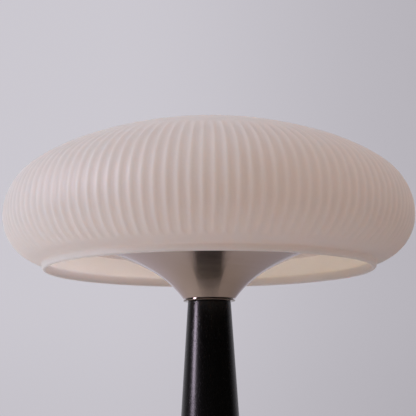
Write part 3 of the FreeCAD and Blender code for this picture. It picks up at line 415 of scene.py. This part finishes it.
def wear(tree, shader, spot, width, colour, rough):
    """Let a metal's edges shine through, with their own colour and roughness."""
    mask = place_group(tree, worn, {"Width": width, "Vector": spot}).outputs[0]
    recolour(tree, shader, mask, (*colour, 1))
    now = shader.inputs["Roughness"].links[0].from_socket
    mixed = add(tree, "Mix", {0: mask, 2: now, 3: rough}).outputs[0]
    tree.links.new(mixed, shader.inputs["Roughness"])


finishes = {}
print("ready for the finishes")

# %% [markdown]
# ## Opal glass
# The dome is pressed white glass with a satin skin. Light goes a few millimetres into it and comes out
# again, which softens every edge and makes the inside glow. Subsurface scattering does this. The skin is
# very slightly uneven, as pressed glass is. The hollows between the flutes' crests get painted shade: the
# dome carries the depth of its hollows as an attribute, and that darkens the colour by a tenth.

# %% Opal glass
HOLLOW_SHADE = 0.1
glass, tree, shader = begin(
    "opal glass", light=(0.90, 0.84, 0.815), dark=(0.875, 0.81, 0.785), patches=26.0, grain=700.0, share=0.35,
    depth=0.00003, rough=0.50, swing=0.05, Subsurface_Weight=1.0, Subsurface_Radius=(1.0, 0.86, 0.8),
    Subsurface_Scale=0.006, IOR=1.5, Specular_IOR_Level=0.35)[:3]
# Painted shade in the flutes' hollows: their depth darkens the colour by a tenth
hollow = add(tree, "Attribute", attribute_name="hollow_painted_shade").outputs["Fac"]
now = shader.inputs["Base Color"].links[0].from_socket
hollow_shade_colour = vector_calc(tree, "MULTIPLY", now, (1 - HOLLOW_SHADE, 1 - HOLLOW_SHADE, 1 - HOLLOW_SHADE))
recolour(tree, shader, hollow, hollow_shade_colour)
finishes["glass_shade"] = finishes["glass_casing"] = glass
print(glass.name)

# %% [markdown]
# ## Brushed steel
# The trumpet was spun from sheet and brushed while it turned, so fine circles run round it and stretch
# every reflection up and down the flank. The stretch is the shader's anisotropy, with a tangent that
# runs round the upright axis. Seen at a slant the steel mirrors the pale backdrop, so a painted reflection
# moves its colour cooler and paler with the Facing of a Layer Weight node. The same finish serves the
# button, its sleeve and the port's frame, each with the circles round its own centre.

# %% Brushed steel
def brushed(name, centre=(0, 0, 0), lines=2600.0, stretch=1.0):
    """Spun and brushed steel, with so many circles in a metre round its own centre."""
    material, tree, shader, spot, bump = begin(
        name, light=(0.62, 0.53, 0.44), dark=(0.57, 0.48, 0.39), patches=30.0, grain=300.0, share=0.2,
        depth=0.000004, centre=centre, Metallic=1.0, Anisotropic=stretch, Anisotropic_Rotation=0.25)
    facing = add(tree, "LayerWeight", {"Blend": 0.5}).outputs["Facing"]
    # Painted reflection: towards grazing angles the colour turns to the backdrop's pale, cool tone
    recolour(tree, shader, ramp(tree, facing, 0.35, 0.9), (0.70, 0.63, 0.64, 1))
    circles = place_group(tree, turning, {"Vector": spot, "Lines": lines, "Length": 2.0}).outputs
    tree.links.new(circles["Height"], bump.inputs["Height"])
    roughen(tree, shader, circles["Tone"], 0.26, 0.18)
    tangent = add(tree, "Tangent", direction_type="RADIAL", axis="Z").outputs[0]
    tree.links.new(tangent, shader.inputs["Tangent"])
    return material


BUTTON_CENTRE = (0.0, -0.056, 0.0)
PORT_CENTRE = (0.0, 0.08, 0.0182)
finishes["trumpet"] = brushed("brushed steel")
finishes["button"] = brushed("brushed steel button", BUTTON_CENTRE, 5000.0)
finishes["button_bezel"] = brushed("brushed steel sleeve", BUTTON_CENTRE, 5000.0)
finishes["port_bezel"] = brushed("brushed steel port", PORT_CENTRE, 4000.0, 0.3)
print("brushed steel on the trumpet, button, sleeve and port")

# %% [markdown]
# ## Polished rings
# The thin rings are turned, dark like bronze and polished almost to a mirror. Wiping has left hairlines
# round them and a paler metal along their edges. The photograph shows the upper ring as a dark line with
# one bright spot, so the colour is low and the polish high.

# %% Polished rings
ring_metal, tree, shader, spot, bump = begin(
    "polished ring", light=(0.27, 0.23, 0.20), dark=(0.23, 0.20, 0.17), patches=60.0, grain=900.0, share=0.3,
    depth=0.000002, rough=0.12, swing=0.03, Metallic=1.0)
hairlines = place_group(tree, turning, {"Vector": spot, "Lines": 6000.0, "Length": 1.0}).outputs
tree.links.new(hairlines["Height"], bump.inputs["Height"])
wear(tree, shader, spot, 0.0003, (0.42, 0.36, 0.31), 0.2)
finishes["top_ring"] = finishes["foot_ring"] = ring_metal
print(ring_metal.name)

# %% [markdown]
# ## Black wood
# The stem and the foot are turned ash, stained black and given a satin lacquer thin enough to leave the
# pores open. The pores are slim hollows a few millimetres long that follow the grain. Noise that is
# stretched along the grain and cut by the surface gives them in the right direction on every side: along
# the stem, and across the foot, whose blank lies flat.

# %% Black wood
PORE_DEPTH = 0.000015


def black_wood(name, stretch):
    """Open-pored black wood; stretch holds the noise scale along X, Y and Z."""
    material, tree, shader, spot, bump = begin(
        name, light=(0.0010, 0.0009, 0.0009), dark=(0.0005, 0.0005, 0.0005), patches=40.0, grain=500.0,
        share=0.4, depth=PORE_DEPTH, Specular_IOR_Level=0.5)
    along = vector_calc(tree, "MULTIPLY", spot, stretch)
    pores = add(tree, "TexNoise", {"Vector": along, "Scale": 1.0, "Detail": 2.0, "Roughness": 0.7}).outputs[0]
    pore = ramp(tree, pores, 0.56, 0.68)
    slow = vector_calc(tree, "MULTIPLY", along, (0.12, 0.12, 0.12))
    rings = add(tree, "TexNoise", {"Vector": slow, "Scale": 1.0, "Detail": 3.0}).outputs[0]
    open_pore = calc(tree, "MULTIPLY", pore, ramp(tree, rings, 0.3, 0.6, 0.25, 1.0))
    recolour(tree, shader, ramp(tree, rings, 0.4, 0.7), (0.0016, 0.0013, 0.0012, 1))
    recolour(tree, shader, open_pore, (0.0004, 0.0004, 0.0004, 1))
    roughen(tree, shader, open_pore, 0.25, 0.30)
    tree.links.new(calc(tree, "SUBTRACT", 1.0, open_pore), bump.inputs["Height"])
    return material


finishes["stem"] = black_wood("black wood stem", (1500.0, 1500.0, 260.0))
finishes["foot"] = black_wood("black wood foot", (260.0, 1500.0, 1500.0))
print("black wood along the stem and across the foot")

# %% [markdown]
# ## Metals inside the lamp
# The wire frame is satin stainless steel with a faint brown tint where heat has touched it. Screws, nuts,
# washers, the tube and the bottom plate are zinc plated: a cool grey with a spangle of slightly warmer
# patches and bright worn edges. The tray is turned aluminium, and the ballast is raw cast iron.

# %% Metals inside the lamp
# The brown tint fades between these heights over the table, in metres.
HEAT_TOP, HEAT_FOOT = 0.31, 0.293
wire_steel, tree, shader, spot = begin(
    "satin steel wire", light=(0.63, 0.61, 0.59), dark=(0.52, 0.50, 0.48), patches=45.0, grain=1500.0,
    share=0.4, depth=0.000006, rough=0.28, swing=0.05, Metallic=1.0)[:4]
height = add(tree, "SeparateXYZ", {0: spot}).outputs["Z"]
tint = calc(tree, "MULTIPLY", ramp(tree, height, HEAT_TOP, HEAT_FOOT), 0.55)
recolour(tree, shader, tint, (0.42, 0.31, 0.20, 1))
finishes["shade_frame"] = wire_steel

zinc, tree, shader, spot = begin(
    "zinc plate", light=(0.60, 0.60, 0.615), dark=(0.46, 0.465, 0.47), patches=180.0, grain=1400.0, share=0.35,
    depth=0.000008, rough=0.34, swing=0.07, Metallic=1.0)[:4]
flake = add(tree, "TexVoronoi", {"Vector": spot, "Scale": 160.0}).outputs["Color"]
warm = ramp(tree, add(tree, "SeparateXYZ", {0: flake}).outputs["X"], 0.3, 1.0, 0.0, 0.3, kind="LINEAR")
recolour(tree, shader, warm, (0.62, 0.58, 0.50, 1))
wear(tree, shader, spot, 0.0004, (0.75, 0.75, 0.76), 0.22)
for name in ("frame_nuts", "led_screws", "tray_nut", "neck_nut", "neck_washer", "lamp_tube", "foot_washer",
             "foot_nut", "charge_socket", "bottom_plate", "plate_screws", "ballast_screws", "board_screws"):
    finishes[name] = zinc

turned_tray, tree, shader, spot, bump = begin(
    "turned aluminium", light=(0.78, 0.785, 0.79), dark=(0.68, 0.685, 0.69), patches=40.0, grain=500.0,
    share=0.3, depth=0.000006, rough=0.32, swing=0.04, Metallic=1.0, Anisotropic=0.5, Anisotropic_Rotation=0.25)
circles = place_group(tree, turning, {"Vector": spot, "Lines": 1800.0, "Length": 0.8}).outputs
tree.links.new(circles["Height"], bump.inputs["Height"])
tree.links.new(add(tree, "Tangent", direction_type="RADIAL", axis="Z").outputs[0], shader.inputs["Tangent"])
wear(tree, shader, spot, 0.0004, (0.86, 0.86, 0.87), 0.2)
finishes["light_tray"] = turned_tray

iron, tree, shader, spot = begin(
    "cast iron", light=(0.105, 0.105, 0.11), dark=(0.06, 0.057, 0.055), patches=90.0, grain=900.0, share=0.55,
    depth=0.00022, rough=0.62, swing=0.12, Metallic=0.6)[:4]
rust = add(tree, "TexNoise", {"Vector": spot, "Scale": 55.0, "Detail": 5.0}).outputs[0]
recolour(tree, shader, ramp(tree, rust, 0.58, 0.72, 0.0, 0.7), (0.16, 0.075, 0.04, 1))
finishes["ballast"] = iron
print("metals:", wire_steel.name, zinc.name, turned_tray.name, iron.name)

# %% [markdown]
# ## Plastics, rubber and the light unit
# Moulded plastic has a fine spark-eroded grain, silicone is cloudy, and rubber is dull and holds dust. The
# diffuser is opal like the glass but smoother. The circuit boards are lacquered, and the copper under the
# lacquer shows as slightly raised, slightly lighter tracks.

# %% Plastics, rubber and leads
FINE_GRAIN = 2200.0
finishes["diffuser"] = begin(
    "opal plastic", light=(0.88, 0.87, 0.85), dark=(0.85, 0.835, 0.81), patches=30.0, grain=FINE_GRAIN,
    share=0.4, depth=0.000012, rough=0.42, swing=0.04, Subsurface_Weight=0.5,
    Subsurface_Radius=(1.0, 0.95, 0.9), Subsurface_Scale=0.003)[0]
white_plastic = begin(
    "white plastic", light=(0.82, 0.81, 0.78), dark=(0.74, 0.73, 0.70), patches=120.0, grain=FINE_GRAIN,
    share=0.5, depth=0.00002, rough=0.48, swing=0.05)[0]
black_plastic = begin(
    "black plastic", light=(0.045, 0.045, 0.048), dark=(0.028, 0.028, 0.03), patches=150.0, grain=FINE_GRAIN,
    share=0.6, depth=0.000025, rough=0.5, swing=0.08)[0]
finishes["led_terminal"] = finishes["wire_connectors"] = white_plastic
finishes["tact_switch"] = finishes["board_parts"] = black_plastic
finishes["frame_pads"] = begin(
    "cloudy silicone", light=(0.72, 0.71, 0.69), dark=(0.60, 0.585, 0.56), patches=80.0, grain=1200.0,
    share=0.4, depth=0.00002, rough=0.55, swing=0.06, Subsurface_Weight=0.3,
    Subsurface_Radius=(1.0, 0.95, 0.9), Subsurface_Scale=0.002)[0]
finishes["foot_pad"] = begin(
    "dusty rubber", light=(0.060, 0.058, 0.056), dark=(0.022, 0.022, 0.023), patches=70.0, grain=1500.0,
    share=0.55, depth=0.00006, rough=0.8, swing=0.08)[0]
jacket = begin(
    "lead jacket", light=(0.055, 0.055, 0.06), dark=(0.035, 0.035, 0.038), patches=200.0, grain=FINE_GRAIN,
    share=0.4, depth=0.00001, rough=0.42, swing=0.07)[0]
for name in ("lamp_lead", "cell_leads", "switch_lead"):
    finishes[name] = jacket
finishes["led_chips"] = begin(
    "phosphor", light=(0.93, 0.76, 0.22), dark=(0.84, 0.60, 0.12), patches=500.0, grain=4000.0, share=0.6,
    depth=0.00003, rough=0.5, swing=0.08, Subsurface_Weight=0.2, Subsurface_Radius=(1.0, 0.7, 0.2),
    Subsurface_Scale=0.0005)[0]
print("plastics, rubber and leads ready")

# %% Circuit boards
def lacquered(name, light, dark, copper):
    """A board under lacquer: tracks in steps, from a checker of squares with a few left out."""
    material, tree, shader, spot, bump = begin(
        name, light, dark, patches=60.0, grain=1800.0, share=0.3, depth=0.00003, rough=0.28, swing=0.05,
        Coat_Weight=0.4, Coat_Roughness=0.15)
    bricks = add(tree, "TexBrick", {"Vector": spot, "Scale": 300.0, "Mortar Size": 0.09, "Mortar Smooth": 0.3,
                                    "Bias": 0.0, "Brick Width": 1.9, "Row Height": 0.55,
                                    "Color1": (1, 1, 1, 1), "Color2": (0.55, 0.55, 0.55, 1),
                                    "Mortar": (0, 0, 0, 1)})
    left_out = add(tree, "TexNoise", {"Vector": spot, "Scale": 110.0, "Detail": 1.0}).outputs[0]
    track = calc(tree, "MULTIPLY", bricks.outputs["Color"], ramp(tree, left_out, 0.42, 0.5))
    recolour(tree, shader, calc(tree, "MULTIPLY", track, 0.45), (*copper, 1))
    tree.links.new(track, bump.inputs["Height"])
    return material


green_board = lacquered("green lacquer", (0.022, 0.15, 0.065), (0.012, 0.10, 0.045), (0.075, 0.26, 0.11))
finishes["charge_board"] = finishes["switch_board"] = green_board
finishes["led_board"] = lacquered("white lacquer", (0.86, 0.86, 0.84), (0.80, 0.80, 0.78), (0.92, 0.91, 0.86))
print(green_board.name)

# %% Cell wrap
# The flat cells sit in shrunken film, which draws into fine wrinkles towards the ends.
wrap, tree, _, spot, bump = begin(
    "cell film", light=(0.31, 0.34, 0.39), dark=(0.26, 0.285, 0.33), patches=50.0, grain=900.0, share=0.2,
    depth=0.00008, rough=0.26, swing=0.05, Metallic=0.35)
pulled = add(tree, "Mapping", {"Vector": spot, "Scale": (260.0, 35.0, 120.0)}).outputs[0]
wrinkle = add(tree, "TexNoise", {"Vector": pulled, "Scale": 1.0, "Detail": 3.0, "Distortion": 0.6}).outputs[0]
tree.links.new(wrinkle, bump.inputs["Height"])
finishes["battery_cells"] = wrap
print(wrap.name)

# %% [markdown]
# ## Give every node its finish
# Each CAD node keeps its own mesh, with the smooth shading that came with it. Only the material in its
# slot is changed.

# %% Assign the finishes
for name, node in sorted(nodes.items()):
    for slot in node.material_slots:
        slot.material = finishes[name]
print(len(nodes), "nodes finished with", len(set(finishes.values())), "materials")

# %% [markdown]
# ## The fluted dome
# The photograph shows about 124 shallow hollows pressed into the outside of the glass, with narrow crests
# between them. They fade out below the widest part and just under the crown. A dome like this is a solid of
# revolution, so it is turned from its half section, which is a chain of arcs with a shared tangent at each
# joint. The flutes need many columns and the smooth parts need few, so the fluted band is turned finely and
# the crown, the bead and the inside coarsely.

# %% Section of the dome
# Lengths are in metres and heights count from the plane of the rim.
WIDEST = 0.150
EQUATOR = 0.0385
SIDE_ARC = 0.0427
SIDE_END = 54.3
SHOULDER_ARC = 0.135
SHOULDER_END = 67.4
UNDER_ARC = 0.0336
UNDER_END = -50.3
TURN_ARC = 0.0364
TURN_END = -77.2
WALL = 0.003
BEAD = 0.00175
BEAD_PLACE = 0.11965
HOLLOW = 0.0016


def on_arc(centre, radius, angle):
    """A point of an arc; the angle counts up from the horizontal, in degrees."""
    angle = math.radians(angle)
    return (centre[0] + radius * math.cos(angle), centre[1] + radius * math.sin(angle))


def arc(centre, radius, first, last, steps):
    """Points along an arc from one angle to another, both ends included."""
    return [on_arc(centre, radius, first + (last - first) * step / steps) for step in range(steps + 1)]


side_centre = (WIDEST - SIDE_ARC, EQUATOR)
shoulder_centre = on_arc(side_centre, SIDE_ARC - SHOULDER_ARC, SIDE_END)
shoulder_top = on_arc(shoulder_centre, SHOULDER_ARC, SHOULDER_END)
CROWN_ARC = shoulder_top[0] / math.cos(math.radians(SHOULDER_END))
crown_centre = (0.0, shoulder_top[1] - CROWN_ARC * math.sin(math.radians(SHOULDER_END)))
under_centre = (WIDEST - UNDER_ARC, EQUATOR)
turn_centre = on_arc(under_centre, UNDER_ARC - TURN_ARC, UNDER_END)
print("crown arc", round(CROWN_ARC, 4), "height", round(crown_centre[1] + CROWN_ARC, 4))

# %% Draw a line and turn it
MERGE_WITHIN = 0.00001
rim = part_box("glass_shade")[0].z
print("rim at", round(rim, 4))


def draw_line(name, points):
    """A line through points of the XZ plane, drawn by extruding one vertex from each to the next."""
    bpy.ops.object.select_all(action="DESELECT")
    bpy.ops.mesh.primitive_plane_add(size=0.01)
    piece = bpy.context.object
    piece.name = piece.data.name = name
    bpy.ops.object.mode_set(mode="EDIT")
    bpy.ops.mesh.select_all(action="SELECT")
    bpy.ops.mesh.merge(type="CENTER")
    bpy.ops.transform.translate(value=(points[0][0], 0, rim + points[0][1]))
    for before, after in zip(points, points[1:]):
        step = (after[0] - before[0], 0, after[1] - before[1])
        bpy.ops.mesh.extrude_region_move(TRANSFORM_OT_translate={"value": step})
    return piece


def turn_sector(columns, sectors):
    """Spin the line that is being edited through one sector, to both sides of where it was drawn."""
    sector = 2 * math.pi / sectors
    bpy.ops.mesh.select_all(action="SELECT")
    bpy.ops.mesh.spin(steps=1, angle=-sector / 2, center=(0, 0, 0), axis=(0, 0, 1), dupli=True)
    bpy.ops.mesh.select_all(action="INVERT")
    bpy.ops.mesh.delete(type="VERT")
    bpy.ops.mesh.select_all(action="SELECT")
    bpy.ops.mesh.spin(steps=columns, angle=sector, center=(0, 0, 0), axis=(0, 0, 1))
    bpy.ops.object.mode_set(mode="OBJECT")


def copy_round(piece, sectors):
    """Copy a sector round the axis and merge the copies where they meet."""
    bpy.context.view_layer.objects.active = piece
    bpy.ops.object.mode_set(mode="EDIT")
    bpy.ops.mesh.select_all(action="SELECT")
    bpy.ops.mesh.spin(steps=sectors - 1, angle=2 * math.pi * (sectors - 1) / sectors, center=(0, 0, 0),
                      axis=(0, 0, 1), dupli=True)
    bpy.ops.mesh.select_all(action="SELECT")
    bpy.ops.mesh.remove_doubles(threshold=MERGE_WITHIN)
    bpy.ops.mesh.normals_make_consistent(inside=False)
    bpy.ops.object.mode_set(mode="OBJECT")


print("ready to turn the dome")

# %% [markdown]
# ## Flutes
# The mould of the real shade has 124 ribs, which press these hollows into the soft glass. A bump in the
# material could draw them, but their crests show in the outline, so they are shaped. Only one flute is made:
# its part of the band is spun in ten columns, a Displace modifier pushes the hollow in by a weight for each
# point, and the flute is copied round the dome.

# %% One flute
FLUTES = 124
COLUMNS = 10
FADE_END = -62.0
FADE_TOP = 66.6

band_line = (arc(turn_centre, TURN_ARC, FADE_END, UNDER_END, 4)
             + arc(under_centre, UNDER_ARC, UNDER_END, 0, 9)[1:]
             + arc(side_centre, SIDE_ARC, 0, SIDE_END, 13)[1:]
             + arc(shoulder_centre, SHOULDER_ARC, SIDE_END, FADE_TOP, 10)[1:])
dome = draw_line("fluted_dome", band_line)
turn_sector(COLUMNS, FLUTES)
points = [vertex.co for vertex in dome.data.vertices]
print("flute", len(points), "points, angles", min(round(math.degrees(math.atan2(p.y, p.x)), 3) for p in points),
      max(round(math.degrees(math.atan2(p.y, p.x)), 3) for p in points), "x", max(p.x for p in points))

# %% Push the hollow in
# The hollow is a shallow round groove. Its depth fades along the line: below the under arc, where the
# glass turns away from the straight groove, and along the shoulder, whose arc is tighter than the groove.
# The painted shade of the hollows fades sooner than their depth, over 16 mm at both ends.
FLUTE_DEPTH = 0.0006
FLUTE_ARC = 0.0094
FLUTE_FADE_ARC = 0.170
HOLLOW_SHADE_FROM = 0.011
HOLLOW_SHADE_TO = 0.094
HOLLOW_SHADE_FADE = 0.016


def groove_depth(height, radius):
    """Depth at the groove's middle, from the place on the section."""
    foot_gap = on_arc(under_centre, UNDER_ARC, UNDER_END)[1] - height
    if foot_gap > 0:
        along = TURN_ARC * (math.radians(UNDER_END) - math.atan2(height - turn_centre[1],
                                                                 radius - turn_centre[0]))
        return FLUTE_DEPTH - along ** 2 / (2 * TURN_ARC)
    angle = math.atan2(height - shoulder_centre[1], radius - shoulder_centre[0]) - math.radians(SIDE_END)
    if height > on_arc(side_centre, SIDE_ARC, SIDE_END)[1]:
        return FLUTE_DEPTH - (SHOULDER_ARC * angle) ** 2 / 2 * (1 / SHOULDER_ARC - 1 / FLUTE_FADE_ARC)
    return FLUTE_DEPTH


weights = dome.vertex_groups.new(name="hollow")
shares, hollow_shade_shares = [], []
for vertex in dome.data.vertices:
    radius = math.hypot(vertex.co.x, vertex.co.y)
    sideways = abs(vertex.co.y)
    depth = groove_depth(vertex.co.z - rim, radius)
    here = math.sqrt(FLUTE_ARC ** 2 - sideways ** 2) - (FLUTE_ARC - depth)
    shares.append(max(here, 0) / FLUTE_DEPTH)
    weights.add([vertex.index], shares[-1], "REPLACE")
    # The painted shade of the hollows, faded out towards both ends of the band
    above = vertex.co.z - rim
    fade = min((above - HOLLOW_SHADE_FROM) / HOLLOW_SHADE_FADE, (HOLLOW_SHADE_TO - above) / HOLLOW_SHADE_FADE, 1)
    hollow_shade_shares.append(shares[-1] * max(fade, 0))
dome.data.attributes.new("hollow_painted_shade", "FLOAT", "POINT").data.foreach_set("value", hollow_shade_shares)
push = dome.modifiers.new("hollow", "DISPLACE")
push.vertex_group = "hollow"
push.mid_level = 0.0
push.strength = -FLUTE_DEPTH
bpy.context.view_layer.objects.active = dome
bpy.ops.object.modifier_apply(modifier="hollow")
copy_round(dome, FLUTES)
print("band", len(dome.data.polygons), "faces, widest",
      round(max(math.hypot(v.co.x, v.co.y) for v in dome.data.vertices), 5))

# %% [markdown]
# ## Rim and inside
# Below the flutes the glass turns in and ends in a small bead, which keeps the edge from chipping. The plunger
# that presses the glass leaves the inside smooth. A Solidify modifier could give the wall, but it would carry
# the flutes through to the inside, so the inside is drawn as a line of its own and turned with the bead.

# %% Crown, bead and inside
# Below the band the line runs on round the bead and up the inside to the axis; above it, to the crown. Both
# lines begin a little way from the band, and that gap is bridged afterwards.
SMOOTH_SECTORS = 31
LOWER_START = FADE_END - 2
UPPER_START = SHOULDER_END - 0.1
COVE_ARC = BEAD * 1.2
COVE_DROP = BEAD * 1.3
inner_turn = TURN_ARC - WALL
inner_lip = BEAD_PLACE - BEAD
cove_end = (BEAD_PLACE, turn_centre[1] - math.sqrt(inner_turn ** 2 - (BEAD_PLACE - turn_centre[0]) ** 2))
cove_start = (inner_lip, cove_end[1] - COVE_DROP)
cove_angle = math.degrees(math.asin((cove_end[1] - turn_centre[1]) / inner_turn))
turn_end = on_arc(turn_centre, TURN_ARC, TURN_END)
hollow_centre = on_arc(turn_end, HOLLOW, TURN_END)
outer_lip = BEAD_PLACE + BEAD
print("hollow ends at", [round(1000 * number, 2) for number in on_arc(hollow_centre, -HOLLOW, 0)])


def arc_through(first, last, radius, left, steps):
    """The shorter arc of a radius from one point to another, turning left or right."""
    chord = Vector((last[0] - first[0], last[1] - first[1]))
    side = Vector((-chord.y, chord.x)).normalized()
    reach = math.sqrt(max(radius ** 2 - (chord.length / 2) ** 2, 0.0))
    centre = Vector(first) + chord / 2 + side * (reach if left else -reach)
    start = math.degrees(math.atan2(first[1] - centre.y, first[0] - centre.x))
    stop = math.degrees(math.atan2(last[1] - centre.y, last[0] - centre.x))
    if left and stop < start:
        stop += 360
    if not left and stop > start:
        stop -= 360
    return arc(centre, radius, start, stop, steps)


lower_line = (arc(turn_centre, TURN_ARC, LOWER_START, TURN_END, 5)
              + arc_through(turn_end, (outer_lip, turn_end[1] + HOLLOW * math.sin(math.radians(TURN_END))),
                            HOLLOW, True, 5)[1:]
              + [(outer_lip, BEAD)]
              + arc((BEAD_PLACE, BEAD), BEAD, 0, -180, 12)[1:]
              + [cove_start]
              + arc_through(cove_start, cove_end, COVE_ARC, False, 4)[1:]
              + arc(turn_centre, inner_turn, cove_angle, UNDER_END, 5)[1:]
              + arc(under_centre, UNDER_ARC - WALL, UNDER_END, 0, 9)[1:]
              + arc(side_centre, SIDE_ARC - WALL, 0, SIDE_END, 11)[1:]
              + arc(shoulder_centre, SHOULDER_ARC - WALL, SIDE_END, SHOULDER_END, 4)[1:]
              + arc(crown_centre, CROWN_ARC - WALL, SHOULDER_END, 90, 8)[1:])
upper_line = (arc(shoulder_centre, SHOULDER_ARC, UPPER_START, SHOULDER_END, 1)
              + arc(crown_centre, CROWN_ARC, SHOULDER_END, 90, 10)[1:])
shells = []
for name, line in (("inside", lower_line), ("crown", upper_line)):
    shell = draw_line(name, line)
    turn_sector(COLUMNS, SMOOTH_SECTORS)
    copy_round(shell, SMOOTH_SECTORS)
    shells.append(shell)
    print(name, len(shell.data.polygons), "faces")

# %% [markdown]
# ## One closed piece
# The real shade is a single piece of glass, so the three shells become one mesh. Their open edges hold
# different numbers of points, and Bridge Edge Loops fills the narrow gaps between them with triangles. The
# dome then stands in for both solids of the glass.

# %% Join and bridge
# Heights over the rim between which the edges of each gap lie, the lower gap first
GAPS = ((0.0, 0.02), (0.08, 0.09))

bpy.ops.object.select_all(action="DESELECT")
for shell in shells + [dome]:
    shell.select_set(True)
bpy.context.view_layer.objects.active = dome
bpy.ops.object.join()
bpy.ops.object.mode_set(mode="EDIT")
bpy.ops.mesh.select_mode(type="EDGE")
mesh = bmesh.from_edit_mesh(dome.data)
for low, high in GAPS:
    bpy.ops.mesh.select_all(action="DESELECT")
    for edge in mesh.edges:
        height = edge.verts[0].co.z - rim
        edge.select_set(edge.is_boundary and low < height < high)
    print("bridging", sum(edge.select for edge in mesh.edges), "edges")
    bpy.ops.mesh.bridge_edge_loops()
bpy.ops.mesh.select_all(action="SELECT")
bpy.ops.mesh.remove_doubles(threshold=MERGE_WITHIN)
bpy.ops.mesh.normals_make_consistent(inside=False)
mesh = bmesh.from_edit_mesh(dome.data)
print("open edges", sum(edge.is_boundary for edge in mesh.edges))
print("glass", round(mesh.calc_volume() * 1e6, 1), "cubic centimetres")
bpy.ops.object.mode_set(mode="OBJECT")
bpy.ops.object.shade_smooth()
dome.vertex_groups.clear()
dome.data.materials.clear()
dome.data.materials.append(glass)
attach(dome, "shade")
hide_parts("glass_shade", "glass_casing")
low, high = Vector(dome.bound_box[0]), Vector(dome.bound_box[6])
print("dome", len(dome.data.polygons), "faces", [round(n, 5) for n in low], [round(n, 5) for n in high])
